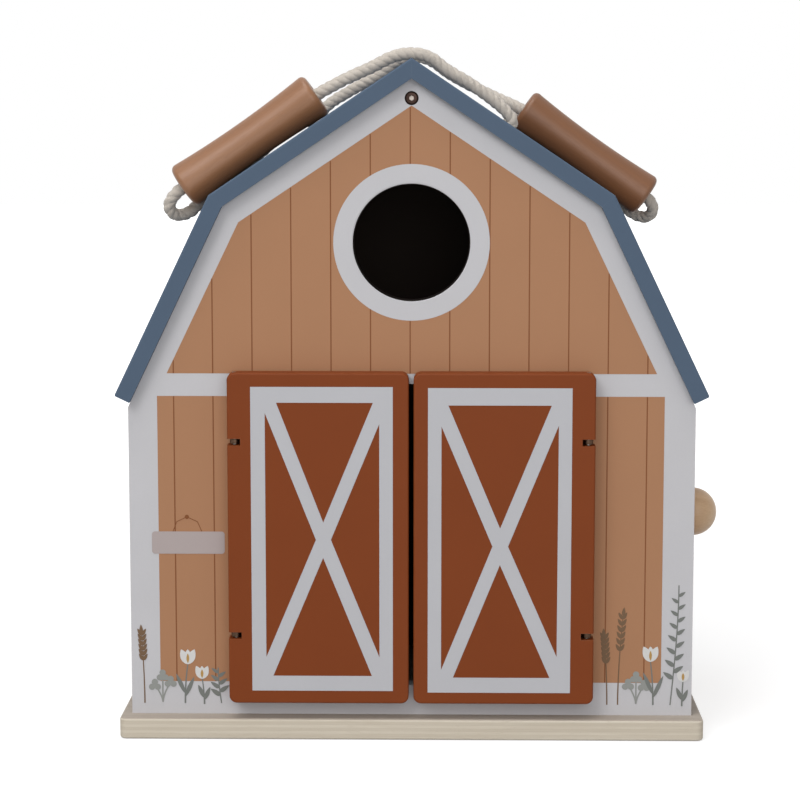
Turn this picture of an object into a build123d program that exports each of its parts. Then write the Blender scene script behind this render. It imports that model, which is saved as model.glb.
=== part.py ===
from build123d import *
import os
from math import cos, pi, radians, sin, tan

# Toy farmhouse, in millimetres. Z is up, the doors face -Y, and the origin is the centre of the
# base board's underside.

# Base board
base_side_margin = 5.0
base_end_margin = 9.0
base_thickness = 10.0
base_corner_radius = 3.5
base_edge_round = 1.2

# Walls
body_width = 262.0
body_depth = 150.0
panel_thickness = 9.0
side_thickness = 9.0
shoulder_radius = 2.0
panel_edge_round = 0.6

# Roof
ridge_height = 314.6
upper_pitch = 33.8
upper_length = 111.3
lower_pitch = 64.3
lower_length = 102.0
roof_thickness = 7.7
roof_overhang = 5.0
roof_edge_round = 0.9

# Doorway and round window
doorway_width = 152.0
doorway_height = 142.0
doorway_sill = 14.0
doorway_corner_radius = 4.0
window_radius = 26.5
window_below_ridge = 83.6
opening_edge_round = 0.8

# Doors
door_height = 154.5
door_above_base = 7.6
door_thickness = 9.0
door_outer_edge = 84.4
door_gap = 2.2
door_stand_off = 1.0
door_corner_radius = 3.5
door_edge_round = 1.0

# Door hinges: an eye in the panel, a slot in the door and a pin through both
hinge_inset = 3.2
hinge_from_end = 32.0
hinge_slot_depth = 6.0
hinge_slot_height = 3.1
hinge_pin_radius = 1.0
hinge_pin_clearance = 0.06
hinge_pin_past_slot = 5.0
eye_radius = 2.3
eye_thickness = 2.0
eye_shank_radius = 0.9
eye_shank_depth = 7.0

# Side flap
flap_gap = 0.8
flap_floor_gap = 1.0
flap_below_shoulder = 0.2
flap_pivot_inset = 3.0
flap_pin_radius = 1.5
flap_pin_clearance = 0.06
flap_pin_in_flap = 12.0
flap_pin_in_panel = 6.0
flap_edge_round = 1.0

# Eave rail, the flap's stop
rail_thickness = 8.7
rail_height = 27.0
rail_below_flap_top = 14.0
rail_stop_gap = 0.3

# Magnets
magnet_radius = 4.0
magnet_thickness = 3.0
magnet_spacing = 80.0
magnet_below_flap_top = 7.0

# Knob
knob_below_flap_top = 60.9
knob_radius = 11.8
knob_length = 19.2
knob_cap_length = 11.6
knob_foot_radius = 7.0
knob_neck_radius = 5.6
knob_neck_length = 3.4
knob_screw_radius = 1.8
knob_screw_head_radius = 3.6
knob_screw_length = 21.0

# Ridge beam and the screws at the peak
beam_width = 20.0
beam_height = 20.0
peak_screw_drop = 8.8
peak_screw_head_radius = 3.15
peak_screw_head_height = 2.2
peak_screw_recess = 0.6
peak_screw_radius = 1.6
peak_screw_length = 26.0
peak_screw_socket_radius = 1.5
peak_screw_socket_depth = 1.4

# Base screws
base_screw_radius = 1.6
base_screw_head_radius = 3.4
base_screw_length = 20.0
base_screw_recess = 0.5
base_screw_spacing = 100.0
base_screw_side_spacing = 80.0

# Dowels
dowel_radius = 2.5
dowel_length = 18.0
dowel_in_panel = 6.0
dowel_low_above_base = 30.0
dowel_high_below_shoulder = 22.0

# Small room round hidden fasteners, and the angle of their countersunk heads
fastener_clearance = 0.05
countersink_angle = 90.0

# Ropes
rope_radius = 2.75
rope_hole_radius = 3.3
rope_hole_along = 55.5
rope_hole_spacing = 80.0
knot_radius = 5.8
knot_length = 9.0

# Grips
grip_radius = 10.9
grip_waist_radius = 9.4
grip_length = 75.6
grip_bore_radius = 4.2
grip_end_round = 2.6
grip_bore_round = 0.8
front_grip_along = 83.6
front_grip_height = 10.7
front_grip_tilt = 0.9
front_grip_across = -54.0
back_grip_along = 95.4
back_grip_height = 10.2
back_grip_tilt = 1.5
back_grip_across = 26.0

# Worked out from the sizes above
RIGHT = 1
LEFT = -1
FRONT = -1
BACK = 1
half_depth = body_depth / 2
half_width = body_width / 2
base_width = body_width + 2 * base_side_margin
base_depth = body_depth + 2 * base_end_margin
window_height = ridge_height - window_below_ridge
door_bottom = base_thickness + door_above_base
inner_depth = half_depth - panel_thickness
upper_angle = radians(upper_pitch)
lower_angle = radians(lower_pitch)
roof_half_depth = half_depth + roof_overhang
door_back = -half_depth - door_stand_off
door_front = door_back - door_thickness
hinge_x = door_outer_edge - hinge_inset
hinge_y = door_back - door_thickness / 2
flap_pivot_x = half_width - flap_pivot_inset
flap_pivot_z = base_thickness + flap_floor_gap + flap_pivot_inset
flap_inner_x = half_width - side_thickness
flap_half_depth = inner_depth - flap_gap
rail_x = flap_inner_x - rail_stop_gap
wall_x = half_width - side_thickness / 2
panel_mid_y = half_depth - panel_thickness / 2


def slope_point(side, along, height):
    """X and Z of a point on the upper roof: its way down from the ridge, and its height over the board."""
    x = along * cos(upper_angle) + height * sin(upper_angle)
    z = ridge_height - along * sin(upper_angle) + height * cos(upper_angle)
    return side * x, z


def slope_direction(side):
    """The way down one upper roof board."""
    return Vector(side * cos(upper_angle), 0, -sin(upper_angle))


def slope_normal(side):
    """The way straight out of one upper roof board."""
    return Vector(side * sin(upper_angle), 0, cos(upper_angle))


def eave_point(along, depth):
    """X and Z of a point on the right lower roof: its way down from the knee, and its depth in the board."""
    knee_x, knee_z = slope_point(RIGHT, upper_length, 0)
    x = knee_x + along * cos(lower_angle) - depth * sin(lower_angle)
    z = knee_z - along * sin(lower_angle) - depth * cos(lower_angle)
    return x, z


def inner_ridge():
    """Z of the apex under the roof boards."""
    return ridge_height - roof_thickness / cos(upper_angle)


def inner_knee():
    """X and Z where the undersides of the two right roof boards meet."""
    knee_x, knee_z = slope_point(RIGHT, upper_length, 0)
    mitre = roof_thickness / (1 + cos(lower_angle - upper_angle))
    x = knee_x - mitre * (sin(upper_angle) + sin(lower_angle))
    z = knee_z - mitre * (cos(upper_angle) + cos(lower_angle))
    return x, z


def under_roof(x):
    """Z of the underside of the lower roof boards at a distance from the middle."""
    eave_x, eave_z = eave_point(lower_length, roof_thickness)
    return eave_z + (eave_x - x) * tan(lower_angle)


shoulder_height = under_roof(half_width)
flap_top = shoulder_height - flap_below_shoulder
rail_bottom = flap_top - rail_below_flap_top
magnet_z = flap_top - magnet_below_flap_top
knob_height = flap_top - knob_below_flap_top
dowel_low_height = base_thickness + dowel_low_above_base
dowel_high_height = shoulder_height - dowel_high_below_shoulder


def save(piece, name):
    """Labels a finished piece and writes it."""
    piece.label = name
    export_step(piece, f"parts/{name}.step")


def front_plane(x, y, z, side=FRONT):
    """A plane that faces the front or the back, with its Y upright."""
    return Plane(origin=(x, y, z), x_dir=(-side, 0, 0), z_dir=(0, side, 0))


def base_screw_places():
    """X and Y of the screws that hold the panels and the left wall."""
    panels = [
        (x, y)
        for x in (-base_screw_spacing, 0, base_screw_spacing)
        for y in (-panel_mid_y, panel_mid_y)
    ]
    wall = [(-wall_x, y) for y in (-base_screw_side_spacing / 2, base_screw_side_spacing / 2)]
    return panels + wall


def screw_planes():
    """Where the base screws sit, looking down out of the board."""
    return [Plane(origin=(x, y, base_screw_recess), z_dir=(0, 0, -1)) for x, y in base_screw_places()]


def dowel_planes():
    """The joints between the panels and the boards between them, looking at the nearer panel."""
    rail_mid_x = rail_x - rail_thickness / 2
    rail_mid_z = rail_bottom + rail_height / 2
    places = [(-wall_x, dowel_low_height), (-wall_x, dowel_high_height), (rail_mid_x, rail_mid_z)]
    return [
        front_plane(x, side * (inner_depth + dowel_in_panel), z, side)
        for x, z in places
        for side in (FRONT, BACK)
    ]


def dowel_holes():
    """Cuts the dowels' holes."""
    with Locations(*dowel_planes()):
        Cylinder(
            dowel_radius + fastener_clearance,
            dowel_length + fastener_clearance,
            align=(Align.CENTER, Align.CENTER, Align.MAX),
            mode=Mode.SUBTRACT,
        )


def base_board():
    """The board that the house stands on, with countersunk holes from below."""
    with BuildPart() as board:
        with BuildSketch():
            RectangleRounded(base_width, base_depth, base_corner_radius)
        extrude(amount=base_thickness)
        fillet(board.faces().sort_by(Axis.Z)[-1].edges(), base_edge_round)
        fillet(board.faces().sort_by(Axis.Z)[0].outer_wire().edges(), base_edge_round)
        with Locations(*[Plane(origin=(x, y, 0), z_dir=(0, 0, -1)) for x, y in base_screw_places()]):
            CounterSinkHole(
                base_screw_radius + fastener_clearance,
                base_screw_head_radius + base_screw_recess,
                base_thickness,
                counter_sink_angle=countersink_angle,
            )
    save(board.part, "base_board")


def base_screws():
    """Countersunk wood screws, heads down."""
    head_height = base_screw_head_radius - base_screw_radius
    with BuildPart() as screws:
        with Locations(*screw_planes()):
            Cone(
                base_screw_radius,
                base_screw_head_radius,
                head_height,
                align=(Align.CENTER, Align.CENTER, Align.MAX),
            )
            Cylinder(
                base_screw_radius,
                base_screw_length,
                align=(Align.CENTER, Align.CENTER, Align.MAX),
            )
    save(screws.part, "base_screws")


def gable_board(side):
    """The plain gable-shaped panel at the front or the back, in its outer face's plane."""
    shoulder = (half_width, shoulder_height)
    knee = inner_knee()
    with BuildPart() as board:
        with BuildSketch(front_plane(0, side * half_depth, 0, side)) as outline:
            with BuildLine():
                Polyline(
                    (-half_width, base_thickness),
                    (half_width, base_thickness),
                    shoulder,
                    knee,
                    (0, inner_ridge()),
                    (-knee[0], knee[1]),
                    (-shoulder[0], shoulder[1]),
                    close=True,
                )
            make_face()
            corners = outline.vertices().filter_by_position(Axis.Y, shoulder[1] - 0.1, shoulder[1] + 0.1)
            fillet(corners, shoulder_radius)
        extrude(amount=-panel_thickness)
        with Locations(front_plane(0, side * half_depth, inner_ridge() - peak_screw_drop, side)):
            CounterBoreHole(
                peak_screw_radius + fastener_clearance,
                peak_screw_head_radius + fastener_clearance,
                peak_screw_recess + peak_screw_head_height,
                panel_thickness,
            )
        with Locations(*[Plane(origin=(x, y, 0), z_dir=(0, 0, -1)) for x, y in base_screw_places()]):
            Cylinder(
                base_screw_radius + fastener_clearance,
                base_screw_recess + base_screw_length,
                align=(Align.CENTER, Align.CENTER, Align.MAX),
                mode=Mode.SUBTRACT,
            )
        dowel_holes()
        with Locations(front_plane(flap_pivot_x, side * (inner_depth + flap_pin_in_panel), flap_pivot_z, side)):
            Cylinder(
                flap_pin_radius + fastener_clearance,
                flap_pin_in_panel,
                align=(Align.CENTER, Align.CENTER, Align.MAX),
                mode=Mode.SUBTRACT,
            )
    return board.part


def hinge_heights():
    """Z of the two hinges of a door."""
    return door_bottom + hinge_from_end, door_bottom + door_height - hinge_from_end


def front_panel():
    """The front gable, with the doorway, the round window and the holes for the hinge eyes."""
    with BuildPart() as panel:
        add(gable_board(FRONT))
        with BuildSketch(front_plane(0, -half_depth, 0)):
            with Locations((0, base_thickness + doorway_sill + doorway_height / 2)):
                RectangleRounded(doorway_width, doorway_height, doorway_corner_radius)
            with Locations((0, window_height)):
                Circle(window_radius)
        extrude(amount=-panel_thickness, mode=Mode.SUBTRACT)
        rim = panel.edges().filter_by(GeomType.CIRCLE).filter_by(
            lambda edge: abs(edge.radius - window_radius) < 0.01
        )
        fillet(rim, opening_edge_round)
        with Locations(*[front_plane(s * hinge_x, -half_depth, z) for s in (LEFT, RIGHT) for z in hinge_heights()]):
            Hole(eye_shank_radius + fastener_clearance, eye_shank_depth + fastener_clearance)
    save(panel.part, "front_panel")


def back_panel():
    """The closed back gable."""
    save(gable_board(BACK), "back_panel")


def left_wall():
    """The fixed side wall, with its top cut to the roof."""
    with BuildPart() as wall:
        with BuildSketch(front_plane(0, -inner_depth, 0)):
            with BuildLine():
                Polyline(
                    (-half_width, base_thickness),
                    (-half_width, shoulder_height),
                    (-flap_inner_x, under_roof(flap_inner_x)),
                    (-flap_inner_x, base_thickness),
                    close=True,
                )
            make_face()
        extrude(amount=-2 * inner_depth)
        dowel_holes()
        with Locations(*[Plane(origin=(x, y, 0), z_dir=(0, 0, -1)) for x, y in base_screw_places()]):
            Cylinder(
                base_screw_radius + fastener_clearance,
                base_screw_recess + base_screw_length,
                align=(Align.CENTER, Align.CENTER, Align.MAX),
                mode=Mode.SUBTRACT,
            )
    save(wall.part, "left_wall")


def magnet_planes(x, facing):
    """Where two magnets lie flush in a face across X."""
    return [
        Plane(origin=(x, y, magnet_z), z_dir=(facing, 0, 0))
        for y in (-magnet_spacing / 2, magnet_spacing / 2)
    ]


def magnet_pockets(x, facing):
    """Cuts the magnets' pockets."""
    with Locations(*magnet_planes(x, facing)):
        Cylinder(
            magnet_radius + fastener_clearance,
            magnet_thickness + fastener_clearance,
            align=(Align.CENTER, Align.CENTER, Align.MAX),
            mode=Mode.SUBTRACT,
        )


def magnets(name, x, facing):
    """Two disc magnets."""
    with BuildPart() as discs:
        with Locations(*magnet_planes(x, facing)):
            Cylinder(magnet_radius, magnet_thickness, align=(Align.CENTER, Align.CENTER, Align.MAX))
    save(discs.part, name)


def eave_rail():
    """The strip that the flap closes against."""
    with BuildPart() as rail:
        with BuildSketch(front_plane(rail_x - rail_thickness / 2, -inner_depth, rail_bottom + rail_height / 2)):
            Rectangle(rail_thickness, rail_height)
        extrude(amount=-2 * inner_depth)
        dowel_holes()
        magnet_pockets(rail_x, RIGHT)
    save(rail.part, "eave_rail")


def wall_dowels():
    """The dowels between the panels and the boards between them."""
    with BuildPart() as dowels:
        with Locations(*dowel_planes()):
            Cylinder(dowel_radius, dowel_length, align=(Align.CENTER, Align.CENTER, Align.MAX))
    save(dowels.part, "wall_dowels")


def ridge_beam():
    """The block under the ridge, with a roof-shaped top."""
    top = inner_ridge()
    shoulder = top - beam_width / 2 * tan(upper_angle)
    with BuildPart() as beam:
        with BuildSketch(front_plane(0, -inner_depth, 0)):
            with BuildLine():
                Polyline(
                    (0, top),
                    (beam_width / 2, shoulder),
                    (beam_width / 2, top - beam_height),
                    (-beam_width / 2, top - beam_height),
                    (-beam_width / 2, shoulder),
                    close=True,
                )
            make_face()
        extrude(amount=-2 * inner_depth)
        with Locations(*[front_plane(0, s * half_depth, top - peak_screw_drop, s) for s in (FRONT, BACK)]):
            Cylinder(
                peak_screw_radius + fastener_clearance,
                peak_screw_recess + peak_screw_length + fastener_clearance,
                align=(Align.CENTER, Align.CENTER, Align.MAX),
                mode=Mode.SUBTRACT,
            )
    save(beam.part, "ridge_beam")


def gable_screws():
    """The round-headed socket screw at each peak."""
    height = inner_ridge() - peak_screw_drop
    sunk = half_depth - peak_screw_recess
    with BuildPart() as screws:
        with Locations(*[front_plane(0, side * sunk, height, side) for side in (FRONT, BACK)]):
            Cylinder(
                peak_screw_head_radius,
                peak_screw_head_height,
                align=(Align.CENTER, Align.CENTER, Align.MAX),
            )
            Cylinder(
                peak_screw_radius,
                peak_screw_length,
                align=(Align.CENTER, Align.CENTER, Align.MAX),
            )
            Cylinder(
                peak_screw_socket_radius,
                peak_screw_socket_depth,
                align=(Align.CENTER, Align.CENTER, Align.MAX),
                mode=Mode.SUBTRACT,
            )
    save(screws.part, "gable_screws")


def rope_hole_planes(side):
    """The two rope holes in one upper board, looking straight out of it."""
    x, z = slope_point(side, rope_hole_along, 0)
    return [
        Plane(origin=(x, y, z), z_dir=slope_normal(side))
        for y in (-rope_hole_spacing / 2, rope_hole_spacing / 2)
    ]


def roof_upper(side):
    """One upper roof board, mitred at the ridge and the knee, with its two rope holes."""
    knee = slope_point(RIGHT, upper_length, 0)
    under = inner_knee()
    with BuildPart() as board:
        with BuildSketch(front_plane(0, -roof_half_depth, 0)):
            with BuildLine():
                Polyline(
                    (0, ridge_height),
                    (side * knee[0], knee[1]),
                    (side * under[0], under[1]),
                    (0, inner_ridge()),
                    close=True,
                )
            make_face()
        extrude(amount=-2 * roof_half_depth)
        top = board.faces().filter_by(lambda face: abs(face.normal_at().dot(slope_normal(side)) - 1) < 1e-6)
        fillet(top.edges().filter_by(lambda edge: abs(edge.tangent_at(0).Y) < 0.5), roof_edge_round)
        with Locations(*rope_hole_planes(side)):
            Hole(rope_hole_radius, roof_thickness)
    save(board.part, "roof_upper_right" if side == RIGHT else "roof_upper_left")


def roof_lower(side):
    """One lower roof board, mitred at the knee and square at the eave."""
    knee = slope_point(RIGHT, upper_length, 0)
    under = inner_knee()
    eave = eave_point(lower_length, 0)
    eave_under = eave_point(lower_length, roof_thickness)
    outward = Vector(side * sin(lower_angle), 0, cos(lower_angle))
    with BuildPart() as board:
        with BuildSketch(front_plane(0, -roof_half_depth, 0)):
            with BuildLine():
                Polyline(
                    (side * knee[0], knee[1]),
                    (side * eave[0], eave[1]),
                    (side * eave_under[0], eave_under[1]),
                    (side * under[0], under[1]),
                    close=True,
                )
            make_face()
        extrude(amount=-2 * roof_half_depth)
        top = board.faces().filter_by(lambda face: abs(face.normal_at().dot(outward) - 1) < 1e-6)
        ends = top.edges().filter_by(lambda edge: abs(edge.tangent_at(0).Y) < 0.5)
        lip = top.edges().filter_by(Axis.Y).sort_by(Axis.Z)[0]
        fillet(ends + [lip], roof_edge_round)
    save(board.part, "roof_lower_right" if side == RIGHT else "roof_lower_left")


def door(side):
    """One front door, with a slot for each hinge eye and the pins' holes from its ends."""
    inner = door_gap / 2
    mid_x = side * (inner + door_outer_edge) / 2
    mid_z = door_bottom + door_height / 2
    with BuildPart() as leaf:
        with BuildSketch(front_plane(mid_x, door_front, mid_z)):
            RectangleRounded(door_outer_edge - inner, door_height, door_corner_radius)
        extrude(amount=-door_thickness)
        fillet(leaf.faces().filter_by(Axis.Y).edges(), door_edge_round)
        slots = [front_plane(side * door_outer_edge, hinge_y, z) for z in hinge_heights()]
        with Locations(*slots):
            Box(2 * hinge_slot_depth, hinge_slot_height, 2 * door_thickness, mode=Mode.SUBTRACT)
        for start, towards, slot in door_pin_runs():
            length = pin_length(start, slot) + fastener_clearance
            with Locations(Plane(origin=(side * hinge_x, hinge_y, start), z_dir=(0, 0, -towards))):
                Cylinder(
                    hinge_pin_radius + fastener_clearance,
                    length,
                    align=(Align.CENTER, Align.CENTER, Align.MAX),
                    mode=Mode.SUBTRACT,
                )
    save(leaf.part, "left_door" if side == LEFT else "right_door")


def door_pin_runs():
    """For each pin: the door end that it starts from, its way in, and its hinge's height."""
    low, high = hinge_heights()
    return [(door_bottom, 1, low), (door_bottom + door_height, -1, high)]


def pin_length(start, slot):
    """How long a pin is, from the door's end to past its slot."""
    return abs(slot - start) + hinge_slot_height / 2 + hinge_pin_past_slot


def hinge_pins(side):
    """The two steel pins of one door."""
    with BuildPart() as pins:
        for start, towards, slot in door_pin_runs():
            with Locations(Plane(origin=(side * hinge_x, hinge_y, start), z_dir=(0, 0, -towards))):
                Cylinder(
                    hinge_pin_radius,
                    pin_length(start, slot),
                    align=(Align.CENTER, Align.CENTER, Align.MAX),
                )
    save(pins.part, "left_hinge_pins" if side == LEFT else "right_hinge_pins")


def hinge_eyes():
    """The four steel eyes, each a ring on a shank in the front panel."""
    shank = -half_depth + eye_shank_depth - hinge_y
    centres = [(s * hinge_x, hinge_y, z) for s in (LEFT, RIGHT) for z in hinge_heights()]
    with BuildPart() as eyes:
        with Locations(*centres):
            Cylinder(eye_radius, eye_thickness)
        with Locations(*[front_plane(*centre) for centre in centres]):
            Cylinder(eye_shank_radius, shank, align=(Align.CENTER, Align.CENTER, Align.MAX))
        with Locations(*centres):
            Cylinder(
                hinge_pin_radius + hinge_pin_clearance,
                2 * eye_thickness,
                mode=Mode.SUBTRACT,
            )
    save(eyes.part, "hinge_eyes")


def side_flap():
    """The drop-down side, with its bottom edge rounded about the pivot."""
    middle = (flap_inner_x + half_width) / 2
    bottom = base_thickness + flap_floor_gap
    with BuildPart() as flap:
        with BuildSketch(front_plane(middle, -flap_half_depth, (bottom + flap_top) / 2)):
            Rectangle(side_thickness, flap_top - bottom)
        extrude(amount=-2 * flap_half_depth)
        long_edges = flap.edges().filter_by(Axis.Y)
        hinge_edge = long_edges.group_by(Axis.Z)[0].sort_by(Axis.X)[-1]
        fillet(hinge_edge, flap_pivot_inset)
        fillet(flap.edges().filter_by(Axis.Y).group_by(Axis.Z)[-1], flap_edge_round)
        with Locations(*[front_plane(flap_pivot_x, s * flap_half_depth, flap_pivot_z, s) for s in (FRONT, BACK)]):
            Hole(flap_pin_radius + flap_pin_clearance, flap_pin_in_flap)
        magnet_pockets(flap_inner_x, LEFT)
        with Locations(Plane(origin=(flap_inner_x, 0, knob_height), z_dir=(-1, 0, 0))):
            CounterSinkHole(
                knob_screw_radius + fastener_clearance,
                knob_screw_head_radius + fastener_clearance,
                side_thickness,
                counter_sink_angle=countersink_angle,
            )
    save(flap.part, "side_flap")


def flap_pivot_pins():
    """The steel pins that the flap turns on, fixed in the panels."""
    length = flap_pin_in_panel + flap_gap + flap_pin_in_flap - flap_gap
    with BuildPart() as pins:
        with Locations(
            *[
                front_plane(flap_pivot_x, s * (inner_depth + flap_pin_in_panel), flap_pivot_z, s)
                for s in (FRONT, BACK)
            ]
        ):
            Cylinder(flap_pin_radius, length, align=(Align.CENTER, Align.CENTER, Align.MAX))
    save(pins.part, "flap_pivot_pins")


def side_knob():
    """The turned mushroom knob, with a hole for its screw."""
    cap = knob_length - knob_cap_length
    with BuildPart() as knob:
        with BuildSketch(front_plane(half_width, 0, knob_height)):
            with BuildLine():
                foot = Line((0, 0), (0, knob_foot_radius))
                neck = ThreePointArc(
                    foot @ 1,
                    (knob_neck_length * 0.6, knob_neck_radius + 0.2),
                    (knob_neck_length, knob_neck_radius),
                )
                flare = TangentArc(neck @ 1, (cap, knob_radius), tangent=(0.35, 1), tangent_from_first=True)
                EllipticalCenterArc((cap, 0), knob_cap_length, knob_radius, arc_size=90)
                Line((knob_length, 0), (0, 0))
            make_face()
        revolve(axis=Axis((half_width, 0, knob_height), (1, 0, 0)))
        with Locations(Plane(origin=(half_width, 0, knob_height), z_dir=(-1, 0, 0))):
            Hole(knob_screw_radius + fastener_clearance, knob_screw_length - side_thickness + fastener_clearance)
    save(knob.part, "side_knob")


def knob_screw():
    """The countersunk screw from inside the flap into the knob."""
    with BuildPart() as screw:
        with Locations(Plane(origin=(flap_inner_x, 0, knob_height), z_dir=(-1, 0, 0))):
            Cone(
                knob_screw_radius,
                knob_screw_head_radius,
                knob_screw_head_radius - knob_screw_radius,
                align=(Align.CENTER, Align.CENTER, Align.MAX),
            )
            Cylinder(
                knob_screw_radius,
                knob_screw_length,
                align=(Align.CENTER, Align.CENTER, Align.MAX),
            )
    save(screw.part, "knob_screw")


def grip(name, side, along, across, height, tilt):
    """A turned wooden grip with a slim waist that lies on a roof board, nearly along its slope."""
    x, z = slope_point(side, along, height)
    lean = upper_angle + radians(tilt)
    axis = Vector(side * cos(lean), 0, -sin(lean))
    plane = Plane(origin=Vector(x, across, z) - axis * grip_length / 2, x_dir=axis, z_dir=(0, 1, 0))
    end, middle = grip_length, grip_length / 2
    with BuildPart() as handle:
        with BuildSketch(plane):
            with BuildLine():
                Polyline((0, grip_radius), (0, grip_bore_radius), (end, grip_bore_radius), (end, grip_radius))
                ThreePointArc((0, grip_radius), (middle, grip_waist_radius), (end, grip_radius))
            make_face()
        revolve(axis=Axis(plane.origin, axis))
        rims = handle.edges().filter_by(GeomType.CIRCLE)
        fillet(rims.filter_by(lambda edge: edge.radius > grip_bore_radius + 0.1), grip_end_round)
        mouths = handle.edges().filter_by(GeomType.CIRCLE)
        fillet(mouths.filter_by(lambda edge: edge.radius < grip_bore_radius + 0.1), grip_bore_round)
    save(handle.part, name)


# Each rope's route, from its far hole over the ridge, through its grip and back to its near hole:
# side of the roof, way down from the ridge, place across, and height over the board.
front_rope_route = [
    (RIGHT, 55.5, -40.0, 0.0),
    (RIGHT, 55.5, -40.0, 4.4),
    (RIGHT, 52.6, -40.3, 7.7),
    (RIGHT, 46.0, -41.0, 7.5),
    (RIGHT, 36.5, -42.0, 6.0),
    (RIGHT, 26.5, -43.2, 5.2),
    (RIGHT, 16.0, -44.6, 4.4),
    (RIGHT, 4.2, -46.0, 6.2),
    (LEFT, 4.2, -47.4, 6.3),
    (LEFT, 16.5, -49.4, 6.3),
    (LEFT, 29.0, -51.6, 8.8),
    (LEFT, 40.0, -53.5, 10.6),
    (LEFT, 52.0, -54.2, 11.4),
    (LEFT, 72.0, -53.7, 10.7),
    (LEFT, 96.0, -54.3, 10.7),
    (LEFT, 115.0, -53.9, 10.2),
    (LEFT, 126.0, -53.7, 10.1),
    (LEFT, 132.6, -51.6, 7.2),
    (LEFT, 133.2, -48.0, 1.8),
    (LEFT, 127.6, -44.2, -1.2),
    (LEFT, 119.6, -41.8, 0.2),
    (LEFT, 111.4, -40.6, 3.9),
    (LEFT, 101.5, -40.0, 3.7),
    (LEFT, 88.5, -39.6, 3.3),
    (LEFT, 77.0, -40.1, 4.4),
    (LEFT, 66.8, -39.9, 8.2),
    (LEFT, 59.4, -40.0, 9.0),
    (LEFT, 55.5, -40.0, 4.8),
    (LEFT, 55.5, -40.0, 0.0),
]
back_rope_route = [
    (LEFT, 55.5, 40.0, 0.0),
    (LEFT, 55.5, 40.0, 4.4),
    (LEFT, 52.6, 39.8, 7.6),
    (LEFT, 45.4, 39.2, 7.3),
    (LEFT, 35.5, 38.1, 5.2),
    (LEFT, 25.5, 36.7, 4.1),
    (LEFT, 15.5, 35.2, 4.0),
    (LEFT, 4.2, 33.4, 6.2),
    (RIGHT, 4.2, 32.0, 6.3),
    (RIGHT, 17.5, 30.0, 4.9),
    (RIGHT, 31.0, 28.0, 6.4),
    (RIGHT, 43.5, 26.7, 8.3),
    (RIGHT, 54.0, 26.0, 10.3),
    (RIGHT, 67.0, 25.8, 11.2),
    (RIGHT, 88.0, 26.3, 10.3),
    (RIGHT, 110.0, 25.8, 10.0),
    (RIGHT, 127.0, 26.1, 9.4),
    (RIGHT, 135.8, 26.2, 9.2),
    (RIGHT, 140.4, 28.7, 6.0),
    (RIGHT, 140.4, 32.6, 1.3),
    (RIGHT, 135.4, 36.0, -1.2),
    (RIGHT, 127.4, 38.5, -0.9),
    (RIGHT, 119.4, 39.8, 1.3),
    (RIGHT, 111.0, 40.3, 3.8),
    (RIGHT, 100.5, 40.0, 3.7),
    (RIGHT, 88.0, 40.4, 3.3),
    (RIGHT, 77.0, 39.9, 4.4),
    (RIGHT, 66.8, 40.1, 8.2),
    (RIGHT, 59.4, 40.0, 9.0),
    (RIGHT, 55.5, 40.0, 4.8),
    (RIGHT, 55.5, 40.0, 0.0),
]


def route_points(route):
    """A route's points in the object's frame."""
    points = []
    for side, along, across, height in route:
        x, z = slope_point(side, along, height)
        points.append(Vector(x, across, z))
    return points


def bend_radii(points):
    """The largest arc that the two runs at each inner point allow."""
    radii = []
    for before, corner, after in zip(points, points[1:], points[2:]):
        turn = radians((corner - before).get_angle(after - corner))
        shorter = min((corner - before).length, (after - corner).length)
        radii.append(0.45 * shorter / tan(turn / 2))
    return radii


def rope(name, route):
    """A rope's free stretch, from its far hole through its grip to its near hole."""
    points = route_points(route)
    radii = bend_radii(points)
    with BuildPart() as cord:
        with BuildLine() as path:
            FilletPolyline(*points, radius=radii)
        with BuildSketch(Plane(origin=path.line @ 0, z_dir=path.line % 0)):
            Circle(rope_radius)
        sweep()
    length = sum(edge.length for edge in path.edges())
    share = cord.part.volume / (pi * rope_radius**2 * length)
    print(name, "length", round(length, 1), "tightest bend", round(min(radii), 1), "volume share", round(share, 4))
    print(name, "bend radii", [round(radius, 1) for radius in radii])
    save(cord.part, name)


def rope_knots(name, across):
    """A rope's two ends: a stem through each roof hole and a stopper knot under the board."""
    with BuildPart() as knots:
        for side in (LEFT, RIGHT):
            x, z = slope_point(side, rope_hole_along, 0)
            plane = Plane(origin=(x, across, z), z_dir=slope_normal(side))
            with Locations(plane):
                Cylinder(
                    rope_radius,
                    roof_thickness + knot_length / 2,
                    align=(Align.CENTER, Align.CENTER, Align.MAX),
                )
            with Locations(plane.offset(-roof_thickness - knot_length / 2)):
                Sphere(knot_radius)
            with Locations(plane.offset(-roof_thickness)):
                Box(
                    3 * knot_radius,
                    3 * knot_radius,
                    roof_thickness,
                    align=(Align.CENTER, Align.CENTER, Align.MIN),
                    mode=Mode.SUBTRACT,
                )
            with Locations(plane.offset(-roof_thickness - knot_length)):
                Box(
                    3 * knot_radius,
                    3 * knot_radius,
                    knot_radius,
                    align=(Align.CENTER, Align.CENTER, Align.MAX),
                    mode=Mode.SUBTRACT,
                )
            with Locations(plane):
                Cylinder(
                    rope_radius,
                    roof_thickness + knot_length / 2,
                    align=(Align.CENTER, Align.CENTER, Align.MAX),
                )
    save(knots.part, name)


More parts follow.
